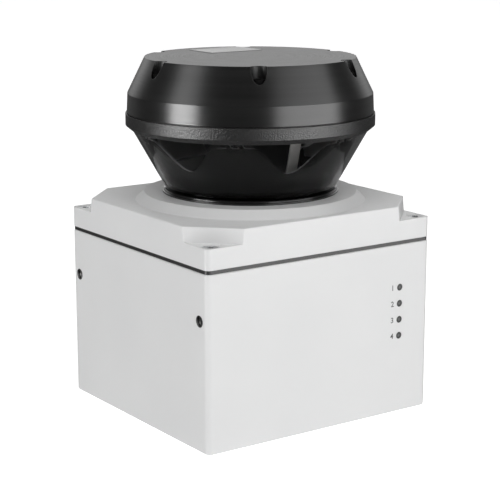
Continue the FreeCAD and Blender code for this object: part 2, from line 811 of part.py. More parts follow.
def head_deck():
    """Plate under the head with the upright tube that holds both bearings."""
    plate = cylinder("window_top_radius - window_wall - 0.5", "0", "0", "deck_low", "3.9")
    column = cylinder("race_radius + 3", "0", "0", "deck_low", "23.8")
    bores = [
        cylinder("race_radius + 0.02", "0", "0", "deck_low", "5.4"),
        cylinder("race_radius + 0.02", "0", "0", "upper_bearing", "10"),
        cylinder("6.6", "0", "0", "deck_low", "30"),
        block("0", "-45", "deck_low - 1", "11", "5", "8"),
    ]
    for x, y in spots(6, "scoop_circle", "scoop_turn"):
        bores.append(cylinder("1.6", x, y, "deck_low - 1", "8"))
    for x, y in spots(3, "drive_circle", 90):
        bores.append(cylinder("1.2", x, y, "deck_low + 1.5", "8"))
    keep(cut(fuse(plate, column), *bores), "head_deck")


def bearings():
    """Two ball bearings: their outer races, inner races, balls and cages."""
    outer_races = []
    inner_races = []
    balls = []
    cages = []
    for foot in ("lower_bearing", "upper_bearing"):
        middle = "(%s + race_width / 2)" % foot
        groove = torus("ball_circle", "ball_radius + 0.06", "0", "0", middle)
        outer = tube("ball_circle + 0.8", "race_radius", "0", "0", foot, "race_width")
        outer_races.append(cut(outer, groove))
        inner = tube("shaft_radius", "ball_circle - 0.8", "0", "0", foot, "race_width")
        inner_races.append(cut(inner, groove))
        band_radii = ("ball_circle - 0.5", "ball_circle + 0.5")
        band = tube(*band_radii, "0", "0", foot + " + 0.4", "race_width - 0.8")
        pockets = []
        for number, (x, y) in enumerate(spots(BALL_COUNT, "ball_circle")):
            balls.append(sphere("ball_radius", x, y, middle))
            drilled = ("ball_radius + 0.08", "ball_circle - 1.5", "0", middle, "3")
            pocket = cylinder(*drilled, ALONG_X)
            pockets.append(turned_about_axis(pocket, 360.0 / BALL_COUNT * number))
        cages.append(cut(band, *pockets))
    keep(group(*outer_races), "bearing_outer_races")
    keep(group(*inner_races), "bearing_inner_races")
    keep(group(*balls), "bearing_balls")
    keep(group(*cages), "bearing_cages")


def motor():
    """Slotted stator on the bearing tube, with the magnet bell turning round it."""
    core = tube("race_radius + 3", "13.5", "0", "0", STATOR_FOOT, "8")
    teeth = []
    for number in range(COIL_COUNT):
        tooth = block("15.7", "0", STATOR_FOOT, "5.4", "2.6", "8")
        shoe = block("19.2", "0", STATOR_FOOT, "1.8", "9", "8")
        teeth.append(turned_about_axis(fuse(tooth, shoe), 360 / COIL_COUNT * number))
    rim = tube("race_radius + 3", "20.4", "0", "0", STATOR_FOOT, "8")
    keep(common(fuse(core, *teeth), rim), "stator_core")
    coils = []
    for number in range(COIL_COUNT):
        winding = block("15.9", "0", STATOR_FOOT + " - 1", "4.4", "6.2", "10")
        tooth = block("15.9", "0", STATOR_FOOT, "8", "2.6", "8")
        coils.append(turned_about_axis(cut(winding, tooth), 360 / COIL_COUNT * number))
    keep(group(*coils), "stator_coils")
    bell = lathe(
        "bell_body",
        [
            ("23.4", STATOR_FOOT + " - 2"),
            ("24.6", STATOR_FOOT + " - 2"),
            ("24.6", BELL_TOP),
            ("8", BELL_TOP),
            ("8", BELL_TOP + " + 1.6"),
            ("shaft_radius", BELL_TOP + " + 1.6"),
            ("shaft_radius", BELL_TOP + " - 1.4"),
            ("23.4", BELL_TOP + " - 1.4"),
        ],
    )
    keep(bell, "rotor_bell")
    magnets = []
    for number in range(MAGNET_COUNT):
        arc = tube("21.2", "23.4", "0", "0", STATOR_FOOT + " - 0.5", "9")
        wedge = block("22", "0", STATOR_FOOT + " - 1", "6", "10.6", "10")
        magnets.append(turned_about_axis(common(arc, wedge), 360 / MAGNET_COUNT * number))
    keep(group(*magnets), "rotor_magnets")


def rotor():
    """Shaft, encoder disc, mirror drum, mirror and shaft screw."""
    shaft_foot = "(mirror_level + 8.5)"
    long = "%s - %s" % (SHAFT_TOP, shaft_foot)
    shaft = cylinder("shaft_radius - 0.01", "0", "0", shaft_foot, long)
    thread = cylinder("1.5", "0", "0", SHAFT_TOP + " - 7", "8")
    keep(cut(shaft, thread), "motor_shaft")
    disc = tube("shaft_radius", "27", "0", "0", BELL_TOP + " + 1.6", "0.6")
    slots = []
    for number in range(24):
        slots.append(turned_about_axis(block("24.6", "0", BELL_TOP, "3", "1.6", "4"), 15 * number))
    keep(cut(disc, *slots), "encoder_disc")
    keep(socket_screw("0", "0", SHAFT_TOP, "3.2", "2.4", "1.45", "6", "2.5"), "shaft_screw")
    foot = "(mirror_level - 14)"
    tall = "%s - %s" % (DRUM_TOP, foot)
    drum = cylinder("drum_radius", "0", "0", foot, tall)
    hollow = cylinder("drum_radius - 2", "0", "0", foot + " - 1", tall + " - 1.6")
    hub = cylinder("8.5", "0", "0", "mirror_level + 6", DRUM_TOP + " - mirror_level - 6")
    shell = fuse(cut(drum, hollow), hub)
    slant = slanted_slab("mirror_level", "0", "2.2", "60")
    plate = common(slant, cylinder("drum_radius - 1", "0", "0", "mirror_level - 20", "50"))
    below = slanted_slab("mirror_level", "-60", "60", "120")
    shaft_bore = cylinder("shaft_radius", "0", "0", "mirror_level + 8.4", "30")
    band = cylinder("drum_radius", "0", "0", foot, tall)
    carrier = common(cut(fuse(shell, plate), below, shaft_bore), band)
    keep(turned_about_axis(carrier, REST_TURN), "mirror_drum")
    glass = slanted_slab("mirror_level", "-1.6", "1.6", "44")
    face = common(glass, cylinder("drum_radius - 4", "0", "0", foot, tall + " - 2"))
    keep(turned_about_axis(face, REST_TURN), "scan_mirror")


def slanted_slab(level, low, thick, side):
    """Square slab at 45 degrees through the scan axis, from a height along its own normal."""
    slab = document.addObject("Part::Box", fresh("slab"))
    bind(slab, Length=side, Width=side, Height=thick)
    tilt = FreeCAD.Rotation(FreeCAD.Vector(0, 1, 0), -45)
    shift = tilt.multVec(FreeCAD.Vector(-value(side) / 2, -value(side) / 2, value(low)))
    place(slab, shift.x, shift.y, "%s + %s" % (level, shift.z), tilt)
    return slab


def drive_board():
    """Ring board above the head deck with the motor driver and the encoder reader."""
    level = "(deck_low + 21)"
    board = tube("29", "50", "0", "0", level, "board_thickness")
    holes = [cylinder("1.3", x, y, level + " - 1", "5") for x, y in spots(3, "drive_circle", 90)]
    keep(cut(board, *holes), "drive_board")
    for x, y in spots(3, "drive_circle", 90):
        BOARD_POSTS.append(tube("1.25", "2.6", x, y, "deck_low + 3.9", level + " - deck_low - 3.9"))
        seat = level + " + board_thickness"
        BOARD_FASTENERS.append(socket_screw(x, y, seat, "2.2", "1.6", "1.15", "19", "1.5"))
    top = level + " + board_thickness"
    COMPONENTS.extend([
        block("38", "8", top, "8", "8", "1"),
        block("-38", "4", top, "7", "7", "1.2"),
        block("-20", "33", top, "9", "5", "2"),
        block("20", "33", top, "6", "6", "1.4"),
        cylinder("3", "-37", "-14", top, "6"),
    ])
    body = block("34", "-8", top, "9", "9", BELL_TOP + " - (%s) + 6" % top)
    gap = block("28", "-8", BELL_TOP + " + 0.6", "14", "12", "2.6")
    arm = block("27.5", "-8", BELL_TOP + " + 3.2", "10", "9", "2.8")
    keep(fuse(cut(body, gap), arm), "encoder_reader")


def optics():
    """Lens barrel on the scan axis, with receiver behind it and laser tube in its middle."""
    tube_body = lathe(
        "barrel_body",
        [
            ("barrel_radius", "detector_level + 1.7"),
            ("barrel_radius + 2", "detector_level + 1.7"),
            ("barrel_radius + 2", DECK_BOARD),
            ("24", DECK_BOARD),
            ("24", DECK_BOARD + " + 1.8"),
            ("barrel_radius", DECK_BOARD + " + 1.8"),
            ("barrel_radius", "118"),
            ("16", "118"),
            ("16", "116.4"),
            ("barrel_radius", "116.4"),
        ],
    )
    holes = [cylinder("0.95", x, y, "boss_level", "6") for x, y in spots(3, "barrel_circle", 30)]
    keep(cut(tube_body, *holes), "lens_barrel")
    dome = common(
        sphere("40", "0", "0", "123 - 40"), cylinder("barrel_radius - 0.1", "0", "0", "118.05", "10")
    )
    keep(cut(dome, cylinder("4.2", "0", "0", "110", "20")), "receiver_lens")
    keep(tube("15.6", "barrel_radius - 0.1", "0", "0", "119.85", "3"), "lens_retainer")
    sleeve = tube("3", "4.15", "0", "0", "98", "28")
    keep(sleeve, "laser_tube")
    keep(cylinder("2.95", "0", "0", "123.2", "2"), "laser_lens")
    can = cylinder("2.8", "0", "0", "98.5", "3")
    neck = cylinder("1.9", "0", "0", "94.5", "4.2")
    keep(fuse(can, neck), "laser_diode")
    board = cylinder("barrel_radius + 1.9", "0", "0", "detector_level", "board_thickness")
    keep(board, "detector_board")
    can = cylinder("4.5", "0", "0", "detector_level + 1.65", "3")
    eye = cylinder("2", "0", "0", "detector_level + 4.6", "0.8")
    keep(fuse(can, eye), "photodiode")


def heater():
    ring = tube("36", "54", "0", "0", "cover_level - 5.2", "1.1")
    tail = block("0", "46", "cover_level - 5.2", "8", "20", "1.1")
    notch = block("0", "-38", "cover_level - 7", "12", "8", "4")
    keep(cut(fuse(ring, tail), notch), "heater_ring")


def boards():
    """Main board on the floor posts, power board above it, lamp board behind the front wall."""
    level = "main_board_level"
    main = block("0", "box_shift", level, "116", "108", "board_thickness")
    holes = [cylinder("1.7", x, y, level + " - 1", "5") for x, y in BOARD_SCREWS]
    keep(cut(main, *holes), "main_board")
    top = "main_board_level + board_thickness"
    COMPONENTS.extend([
        block("-12", "-12", top, "17", "17", "2"),
        block("18", "-8", top, "12", "9", "1.6"),
        block("-38", "-2", top, "8", "12", "1.8"),
        block("12", "22", top, "14", "14", "1.8"),
        block("-30", "30", top, "16", "14", "11"),
        block("36", "32", top, "12", "9", "7"),
    ])
    for x in (30, 42):
        COMPONENTS.append(cylinder("4.5", x, "-34", top, "12"))
    for x, y in BOARD_SCREWS:
        BOARD_POSTS.append(tube("1.7", "3.2", x, y, top, "board_rise"))
        seat = top + " + board_rise + board_thickness"
        BOARD_FASTENERS.append(socket_screw(x, y, seat, "2.7", "2", "1.4", "36", "2"))
    power_level = top + " + board_rise"
    power = block("0", "box_shift", power_level, "112", "104", "board_thickness")
    rear = block("-12", "60", power_level + " - 1", "70", "40", "5")
    holes = [cylinder("1.7", x, y, power_level + " - 1", "5") for x, y in BOARD_SCREWS]
    keep(cut(power, rear, *holes), "power_board")
    over = power_level + " + board_thickness"
    COMPONENTS.extend([
        block("-42", "-20", over, "16", "18", "13"),
        block("-42", "8", over, "12", "14", "7"),
        block("42", "18", over, "10", "16", "9"),
    ])
    for y in (-28, -14, 0):
        COMPONENTS.append(cylinder("5", "42", y, over, "16"))
    middle = FRONT + " + wall + 4.6"
    lamp = block("lamp_across", middle, "lamp_low - 9", "13", "1.2", "3 * lamp_pitch + 18")
    holes = []
    for height in LAMP_BOARD_LEVELS:
        holes.append(cylinder("1.1", "lamp_across", FRONT + " + wall + 3", height, "4", ALONG_Y))
        y = FRONT + " + wall + 5.2"
        head = cylinder("1.9", "lamp_across", y, height, "1.5", ALONG_Y)
        shank = cylinder("0.85", "lamp_across", y + " - 4", height, "4.2", ALONG_Y)
        slot = block("lamp_across", y + " + 1.4", height + " - 0.25", "3", "0.8", "0.5")
        BOARD_FASTENERS.append(cut(fuse(head, shank), slot))
    keep(cut(lamp, *holes), "lamp_board")
    pipes = []
    for height in LAMP_LEVELS:
        diode_middle = FRONT + " + wall + 3.4"
        COMPONENTS.append(block("lamp_across", diode_middle, height + " - 1", "3", "1.2", "2"))
        face = FRONT + " + 0.25"
        pipes.append(cylinder("lamp_radius", "lamp_across", face, height, "wall + 2.3", ALONG_Y))
    keep(group(*pipes), "lamp_light_pipes")


def connectors():
    """Two round rear connectors, pressure vent, earth screw and the inner wiring."""
    shells = []
    inserts = []
    pins = []
    seals = []
    nuts = []
    for x, pin_count in zip(CONNECTOR_PLACES, (5, 4)):
        flange = hexagon("20", x, BACK + " + 0.9", "connector_level", "3", ALONG_Y)
        collar = cylinder("6", x, BACK + " + 3", "connector_level", "9", ALONG_Y)
        shank = cylinder("connector_shank", x, BACK + " - 12", "connector_level", "13.5", ALONG_Y)
        bore = cylinder("connector_bore", x, BACK + " - 8", "connector_level", "22", ALONG_Y)
        back = cylinder("6.5", x, BACK + " - 13", "connector_level", "6", ALONG_Y)
        shells.append(cut(fuse(flange, collar, shank), bore, back))
        insert_long, pin_long = ("11.5", "19") if pin_count == 5 else ("17.8", "17")
        insert_radius = "connector_bore - 0.05"
        insert = cylinder(insert_radius, x, BACK + " - 7", "connector_level", insert_long, ALONG_Y)
        sockets = []
        for number in range(pin_count):
            if number == 4:
                radius, turn = 0.0, 0.0
            else:
                radius, turn = 2.6, math.radians(90 * number + 45)
            pin_x = "%s + %s" % (x, radius * math.cos(turn))
            pin_z = "connector_level + %s" % (radius * math.sin(turn))
            sockets.append(cylinder("0.55", pin_x, BACK + " - 10", pin_z, "22", ALONG_Y))
            pins.append(cylinder("0.5", pin_x, BACK + " - 9", pin_z, pin_long, ALONG_Y))
        inserts.append(cut(insert, *sockets))
        seals.append(tube("connector_shank + 0.1", "9.8", x, BACK, "connector_level", "0.9", ALONG_Y))
        nut = hexagon("19", x, BACK + " - wall - 3.4", "connector_level", "3.4", ALONG_Y)
        thread_foot = BACK + " - wall - 4"
        thread = cylinder("connector_shank + 0.05", x, thread_foot, "connector_level", "6", ALONG_Y)
        nuts.append(cut(nut, thread))
    keep(group(*shells), "rear_connector_shells")
    keep(group(*inserts), "rear_connector_inserts")
    keep(group(*pins), "rear_connector_pins")
    keep(group(*seals), "rear_connector_seals")
    keep(group(*nuts), "rear_connector_nuts")
    stem = cylinder("5", "vent_across", BACK + " - wall - 2", "connector_level", "wall + 2.5", ALONG_Y)
    head = cylinder("8", "vent_across", BACK + " + 0.05", "connector_level", "3.5", ALONG_Y)
    breath = cylinder("2", "vent_across", BACK + " - wall - 3", "connector_level", "wall + 4", ALONG_Y)
    ports = []
    for number in range(6):
        turn = math.radians(60 * number)
        port_x = "vent_across + %s" % (7.6 * math.cos(turn))
        port_z = "connector_level + %s" % (7.6 * math.sin(turn))
        ports.append(cylinder("0.9", port_x, BACK + " + 0.6", port_z, "2", ALONG_Y))
    keep(cut(fuse(stem, head), breath, *ports), "pressure_vent")
    shank = cylinder("1.95", "earth_across", BACK + " - wall - 3", "earth_level", "wall + 4", ALONG_Y)
    head = cylinder("3.9", "earth_across", BACK + " + 0.9", "earth_level", "2.6", ALONG_Y)
    slot = block("earth_across", BACK + " + 3.3", "earth_level - 0.5", "9", "1.6", "1")
    washer = tube("2.1", "4.6", "earth_across", BACK + " + 0.02", "earth_level", "0.85", ALONG_Y)
    keep(group(cut(fuse(shank, head), slot), washer), "earth_screw")
    keep(group(*[wire_loop(x) for x in CONNECTOR_PLACES]), "connector_wiring")


def swept_round(points, bend, radius):
    """Round bar along straight runs joined by arcs that touch both runs."""
    edges = []
    start = points[0]
    for before, corner, after in zip(points, points[1:], points[2:]):
        come = (before - corner).normalize()
        leave = (after - corner).normalize()
        half = come.getAngle(leave) / 2
        reach = bend / math.tan(half)
        first = corner + come * reach
        last = corner + leave * reach
        middle = corner + (come + leave).normalize() * (bend / math.sin(half) - bend)
        edges.append(Part.LineSegment(start, first).toShape())
        edges.append(Part.Arc(first, middle, last).toShape())
        start = last
    edges.append(Part.LineSegment(start, points[-1]).toShape())
    path = Part.Wire(edges)
    along = (points[1] - points[0]).normalize()
    section = Part.Wire(Part.Circle(points[0], along, radius).toShape())
    return path.makePipeShell([section], True, False)


def wire_loop(x):
    """Sleeved wires from the back of a connector down to the main board."""
    level = value("connector_level")
    back = value(BACK)
    across = value(x)
    board = value("main_board_level + board_thickness")
    route = [
        FreeCAD.Vector(across, back - 9.2, level),
        FreeCAD.Vector(across, back - 22, level),
        FreeCAD.Vector(across, back - 22, board + 0.05),
    ]
    wire = document.addObject("Part::Feature", fresh("wire"))
    wire.Shape = swept_round(route, 7, 2.2)
    return wire


def flat_cable():
    """Flat cable on a stiffener strut, from the sensor deck up to the drive board."""
    body = new_body("strut_body")
    sketch = new_sketch(body, "strut_outline", "YZ_Plane", "strut_left")
    draw_outline(
        sketch,
        [
            ("-36.8", SEAT_LEVEL + " - 8"),
            ("-37.8", SEAT_LEVEL + " - 8"),
            ("-37.8", "boss_level + 4"),
            ("-45.4", "deck_low - 3"),
            ("-45.4", "deck_low + 20.9"),
            ("-44.4", "deck_low + 20.9"),
            ("-44.4", "deck_low - 3.2"),
            ("-36.8", "boss_level + 4"),
        ],
    )
    strut = body.newObject("PartDesign::Pad", "strut_pad")
    strut.Profile = sketch
    bind(strut, Length="strut_width")
    keep(body, "head_flat_cable")


def check_document():
    """Stop if any object failed or any sub-part has no good shape."""
    for thing in document.Objects:
        if "Invalid" in thing.State or "Error" in thing.State:
            raise RuntimeError("%s (%s) failed: %s" % (thing.Name, thing.Label, thing.State))
    for part in PARTS:
        if part.Shape.isNull() or not part.Shape.isValid() or not part.Shape.Solids:
            raise RuntimeError("%s has no valid solid" % part.Label)


base_housing()
housing_gasket()
top_cover()
cover_screws()
window_parts()
optics_deck()
light_baffle()
window_sensors()
sensor_ring_board()
deck_screws()
head_shell()
head_deck()
bearings()
motor()
rotor()
drive_board()
optics()
heater()
boards()
connectors()
flat_cable()
keep(group(*COMPONENTS), "board_components")
keep(group(*BOARD_POSTS), "board_posts")
keep(group(*BOARD_FASTENERS), "board_screws")
document.recompute()
check_document()
os.makedirs("parts", exist_ok=True)
for part in PARTS:
    part.Shape.exportStep("parts/%s.step" % part.Label)
    print("%-24s %3d solids %10.1f mm3" % (part.Label, len(part.Shape.Solids), part.Shape.Volume))
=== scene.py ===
# %% [markdown]
# # A lidar scanner module
# A grey painted box holds the electronics. On top of it stand a dark cone-shaped window and a black
# turned cap, and behind the window a small motor turns the mirror that sends the beam round. The
# shapes come from the CAD model, which is loaded here as a fixed frame. This file gives each piece
# its finish, adds the small details that a CAD model leaves out, and sets up light and camera.

# %% Load the frame
import json
import math

import bmesh
import bpy
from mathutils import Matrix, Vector


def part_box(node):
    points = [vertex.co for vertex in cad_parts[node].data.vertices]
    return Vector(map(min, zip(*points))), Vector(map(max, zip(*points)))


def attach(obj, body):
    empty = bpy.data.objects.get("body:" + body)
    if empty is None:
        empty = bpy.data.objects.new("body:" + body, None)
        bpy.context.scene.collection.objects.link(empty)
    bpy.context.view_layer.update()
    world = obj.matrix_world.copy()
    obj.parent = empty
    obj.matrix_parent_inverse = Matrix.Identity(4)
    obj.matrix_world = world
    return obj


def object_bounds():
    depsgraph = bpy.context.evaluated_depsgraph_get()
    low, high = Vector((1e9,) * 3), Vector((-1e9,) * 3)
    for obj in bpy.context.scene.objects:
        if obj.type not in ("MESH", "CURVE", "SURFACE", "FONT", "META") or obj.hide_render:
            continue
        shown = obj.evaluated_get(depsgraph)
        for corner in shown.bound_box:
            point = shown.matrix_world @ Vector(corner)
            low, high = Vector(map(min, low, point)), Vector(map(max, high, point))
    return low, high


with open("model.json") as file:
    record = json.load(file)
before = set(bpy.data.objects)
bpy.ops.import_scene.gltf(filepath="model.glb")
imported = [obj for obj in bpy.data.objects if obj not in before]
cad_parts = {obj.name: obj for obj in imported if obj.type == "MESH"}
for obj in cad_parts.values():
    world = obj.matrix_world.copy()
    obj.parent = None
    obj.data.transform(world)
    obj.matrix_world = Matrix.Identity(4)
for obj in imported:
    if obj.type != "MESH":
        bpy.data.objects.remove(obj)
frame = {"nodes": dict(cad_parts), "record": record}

cad_low, cad_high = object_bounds()
nodes = frame["nodes"]
MM = 0.001
print("loaded", len(nodes), "CAD nodes, height", round((cad_high.z - cad_low.z) / MM, 1), "mm")

# %% [markdown]
# ## Helpers for node trees
# A shader is a small graph. Adding a node, setting it up and wiring its inputs takes several lines
# each time, so one helper does all three. The other helpers wrap the nodes that come up most: a
# calculation, a change of range and a mix of two colours. They keep each finish short enough to read.

# %% Node helpers
def add_node(tree, kind, fill=None, **settings):
    """Add a node, set its options, and give each listed input a value or a link."""
    node = tree.nodes.new(kind)
    for option, choice in settings.items():
        setattr(node, option, choice)
    for name, given in (fill or {}).items():
        if isinstance(given, bpy.types.NodeSocket):
            tree.links.new(given, node.inputs[name])
        else:
            node.inputs[name].default_value = given
    return node


def calculate(tree, operation, first, second=0.0):
    """One step of arithmetic."""
    return add_node(tree, "ShaderNodeMath", {0: first, 1: second}, operation=operation).outputs[0]


def stretch(tree, given, low, high, to_low=0.0, to_high=1.0):
    """Map the range low..high to to_low..to_high, held at both ends."""
    fill = {"Value": given, "From Min": low, "From Max": high, "To Min": to_low, "To Max": to_high}
    return add_node(tree, "ShaderNodeMapRange", fill).outputs["Result"]


def mix_colours(tree, factor, first, second, way="MIX"):
    """The first colour at factor 0, the second at factor 1."""
    fill = {0: factor, 6: first, 7: second}
    return add_node(tree, "ShaderNodeMix", fill, data_type="RGBA", blend_type=way).outputs[2]


def grey(level):
    return (level, level, level, 1.0)


print("node helpers ready")


# %% [markdown]
# ## Shared effects
# Worn edges, fine grain, settled dust and turning marks show on many of the pieces, at different
# strengths. Each is built once as a node group with named inputs, like a small machine with dials,
# and every finish sets the dials its own way. A group hands out only masks, heights and normals.

# %% Group maker
FLOAT = "NodeSocketFloat"
VECTOR = "NodeSocketVector"


def new_group(name, inputs, outputs):
    """A node group with its sockets. Returns its tree, its inside inputs and its inside outputs."""
    tree = bpy.data.node_groups.new(name, "ShaderNodeTree")
    for label, kind, start in inputs:
        socket = tree.interface.new_socket(name=label, in_out="INPUT", socket_type=kind)
        socket.default_value = start
    for label, kind in outputs:
        tree.interface.new_socket(name=label, in_out="OUTPUT", socket_type=kind)
    inside = add_node(tree, "NodeGroupInput").outputs
    outside = add_node(tree, "NodeGroupOutput").inputs
    return tree, inside, outside


# %% [markdown]
# ### Edge wear and painted highlight
# Paint and anodising are thinnest on a sharp edge and rub off there first. A Bevel node finds the
# edges of any mesh, because it looks a short way round each point and blends the normals that it
# meets. Where the blended normal leans away from the true one there is an edge. The same blended
# normal also makes the edge catch a thin line of light, as a real, slightly rounded edge does. On
# the grey paint the mask also lightens the edges as a painted highlight.

# %% Build the edge wear group
def build_edge_wear():
    dials = [("Radius", FLOAT, 0.4 * MM), ("Breakup", FLOAT, 700.0), ("Amount", FLOAT, 1.0)]
    tree, given, made = new_group("edge wear and highlight", dials, [("Mask", FLOAT), ("Normal", VECTOR)])
    bevel = add_node(tree, "ShaderNodeBevel", {"Radius": given["Radius"]}, samples=4)
    shape = add_node(tree, "ShaderNodeNewGeometry")
    both = {0: bevel.outputs["Normal"], 1: shape.outputs["Normal"]}
    match = add_node(tree, "ShaderNodeVectorMath", both, operation="DOT_PRODUCT").outputs["Value"]
    edge = stretch(tree, match, 0.99, 0.80)
    place = add_node(tree, "ShaderNodeTexCoord").outputs["Object"]
    spots = {"Vector": place, "Scale": given["Breakup"], "Detail": 4.0}
    noise = add_node(tree, "ShaderNodeTexNoise", spots).outputs[0]
    broken = calculate(tree, "MULTIPLY", edge, stretch(tree, noise, 0.35, 0.6))
    tree.links.new(calculate(tree, "MULTIPLY", broken, given["Amount"]), made["Mask"])
    tree.links.new(bevel.outputs["Normal"], made["Normal"])
    return tree


# %% [markdown]
# ### Grain
# Nearly every surface has some fine relief: orange peel in paint, the pebbling of a moulded face,
# grit in a sandy coat. Noise gives the relief as a height, and a second, much larger noise gives a
# slow change of shade, so that a big face isn't one dead colour.

# %% Build the grain group
def build_grain():
    dials = [("Scale", FLOAT, 900.0), ("Detail", FLOAT, 3.0), ("Patches", FLOAT, 25.0)]
    tree, given, made = new_group("grain", dials, [("Height", FLOAT), ("Shade", FLOAT)])
    place = add_node(tree, "ShaderNodeTexCoord").outputs["Object"]
    fine = {"Vector": place, "Scale": given["Scale"], "Detail": given["Detail"]}
    wide = {"Vector": place, "Scale": given["Patches"], "Detail": 2.0}
    tree.links.new(add_node(tree, "ShaderNodeTexNoise", fine).outputs[0], made["Height"])
    slow = add_node(tree, "ShaderNodeTexNoise", wide).outputs[0]
    tree.links.new(stretch(tree, slow, 0.3, 0.7), made["Shade"])
    return tree


# %% [markdown]
# ### Dust
# Dust settles on what faces up. The mask is the upward part of the normal, broken up by noise, so a
# level face takes most of it and an upright one takes none.

# %% Build the dust group
def build_dust():
    tree, given, made = new_group("dust", [("Amount", FLOAT, 0.2)], [("Mask", FLOAT)])
    facing = add_node(tree, "ShaderNodeNewGeometry").outputs["Normal"]
    upward = add_node(tree, "ShaderNodeSeparateXYZ", {"Vector": facing}).outputs["Z"]
    level = stretch(tree, upward, 0.5, 1.0)
    place = add_node(tree, "ShaderNodeTexCoord").outputs["Object"]
    specks = {"Vector": place, "Scale": 260.0, "Detail": 6.0, "Roughness": 0.7}
    noise = add_node(tree, "ShaderNodeTexNoise", specks).outputs[0]
    lying = calculate(tree, "MULTIPLY", level, stretch(tree, noise, 0.42, 0.7))
    tree.links.new(calculate(tree, "MULTIPLY", lying, given["Amount"]), made["Mask"])
    return tree


# %% [markdown]
# ### Turning marks
# A lathe tool leaves fine rings round the axis of a turned piece. The rings depend only on the
# distance from the scan axis and on the height, so those two numbers drive a noise that is stretched
# to nothing along the third direction. The Shade output is a broader version, for colour.

# %% Build the turning marks group
def build_turning_marks():
    dials = [("Rings per metre", FLOAT, 3000.0)]
    tree, given, made = new_group("turning marks", dials, [("Height", FLOAT), ("Shade", FLOAT)])
    place = add_node(tree, "ShaderNodeTexCoord").outputs["Object"]
    split = add_node(tree, "ShaderNodeSeparateXYZ", {"Vector": place}).outputs
    flat = add_node(tree, "ShaderNodeCombineXYZ", {"X": split["X"], "Y": split["Y"]}).outputs[0]
    radius = add_node(tree, "ShaderNodeVectorMath", {0: flat}, operation="LENGTH").outputs["Value"]
    angle = calculate(tree, "ARCTAN2", split["Y"], split["X"])
    slow_angle = calculate(tree, "MULTIPLY", angle, 0.0006)
    pair = {"X": radius, "Y": split["Z"], "Z": slow_angle}
    around = add_node(tree, "ShaderNodeCombineXYZ", pair).outputs[0]
    rings = {"Vector": around, "Scale": given["Rings per metre"], "Detail": 2.0}
    tree.links.new(add_node(tree, "ShaderNodeTexNoise", rings).outputs[0], made["Height"])
    fewer = calculate(tree, "MULTIPLY", given["Rings per metre"], 0.12)
    bands = add_node(tree, "ShaderNodeTexNoise", {"Vector": around, "Scale": fewer}).outputs[0]
    tree.links.new(stretch(tree, bands, 0.3, 0.7), made["Shade"])
    return tree


EDGE_WEAR_AND_HIGHLIGHT = build_edge_wear()
GRAIN = build_grain()
DUST = build_dust()
TURNING = build_turning_marks()
print("node groups:", ", ".join(group.name for group in bpy.data.node_groups))

# %% [markdown]
# ## The finishes
# Each finish is one Principled BSDF. Its steady values, such as metallic or coat, are set on its own
# sockets. Colour, roughness and bump are wired, because those are what change over a real surface.
# Each is stored under the name of the material slot that it belongs to in the CAD record.

# %% Start a finish
FINISHES = {}


def new_finish(name, **steady):
    """An empty material with a Principled BSDF and its steady values."""
    material = bpy.data.materials.new(name)
    material.use_nodes = True
    print("finish:", name)
    tree = material.node_tree
    shader = tree.nodes["Principled BSDF"]
    for socket, given in steady.items():
        shader.inputs[socket.replace("_", " ")].default_value = given
    return material, tree, shader


def use_group(tree, group, **dials):
    """One of the shared effects, with its dials set. Returns its outputs."""
    node = add_node(tree, "ShaderNodeGroup", node_tree=group)
    for name, given in dials.items():
        node.inputs[name.replace("_", " ")].default_value = given
    return node.outputs


def follow_noise(tree, shader, noise, low, high):
    """Roughness from low to high along a noise, most of which lies between 0.3 and 0.7."""
    tree.links.new(stretch(tree, noise, 0.3, 0.7, low, high), shader.inputs["Roughness"])


def relief(tree, shader, height, distance, strength=1.0, normal=None):
    """Bump from a height, with its depth in metres."""
    fill = {"Height": height, "Distance": distance, "Strength": strength}
    if normal is not None:
        fill["Normal"] = normal
    bump = add_node(tree, "ShaderNodeBump", fill)
    tree.links.new(bump.outputs["Normal"], shader.inputs["Normal"])


# %% [markdown]
# ### Powder coat
# The housing and its cover are cast aluminium with a light grey powder coat. Powder melts into a
# skin with a faint orange peel about a millimetre across. The colour wanders by a percent or two,
# and a little dust lies on the level faces.

# %% Light grey paint
def paint_finish():
    material, tree, shader = new_finish("light grey paint", IOR=1.45)
    grain = use_group(tree, GRAIN, Scale=750.0, Detail=2.0, Patches=18.0)
    edge = use_group(tree, EDGE_WEAR_AND_HIGHLIGHT, Radius=0.5 * MM, Breakup=900.0, Amount=0.5)
    dust = use_group(tree, DUST, Amount=0.10)
    colour = mix_colours(tree, grain["Shade"], (0.725, 0.728, 0.73, 1), (0.75, 0.752, 0.752, 1))
    # Edges turn a paler grey: partly worn paint, partly a painted highlight along them.
    colour = mix_colours(tree, edge["Mask"], colour, grey(0.81))
    colour = mix_colours(tree, dust["Mask"], colour, (0.58, 0.57, 0.55, 1))
    tree.links.new(colour, shader.inputs["Base Color"])
    follow_noise(tree, shader, grain["Height"], 0.42, 0.52)
    relief(tree, shader, grain["Height"], 0.05 * MM, 0.5, edge["Normal"])
    return material


FINISHES["light_grey_paint"] = paint_finish()

# %% [markdown]
# ### Rubber
# Seals are moulded from black rubber: dull, with a fine grain and a slightly greyed skin.

# %% Black rubber
def rubber_finish():
    material, tree, shader = new_finish("black rubber", IOR=1.45)
    grain = use_group(tree, GRAIN, Scale=2500.0, Detail=4.0, Patches=60.0)
    edge = use_group(tree, EDGE_WEAR_AND_HIGHLIGHT, Radius=0.3 * MM, Breakup=1500.0, Amount=0.4)
    colour = mix_colours(tree, grain["Shade"], grey(0.012), grey(0.020))
    colour = mix_colours(tree, edge["Mask"], colour, grey(0.05))
    tree.links.new(colour, shader.inputs["Base Color"])
    follow_noise(tree, shader, grain["Height"], 0.36, 0.50)
    relief(tree, shader, grain["Height"], 0.02 * MM, 0.6, edge["Normal"])
    return material


FINISHES["black_rubber"] = rubber_finish()

# %% [markdown]
# ### Bare metals
# Steel, brass, nickel plate and plain aluminium share one recipe: a metal whose fine marks vary the
# roughness, with brighter rubbed edges and slightly darker patches where it has tarnished.

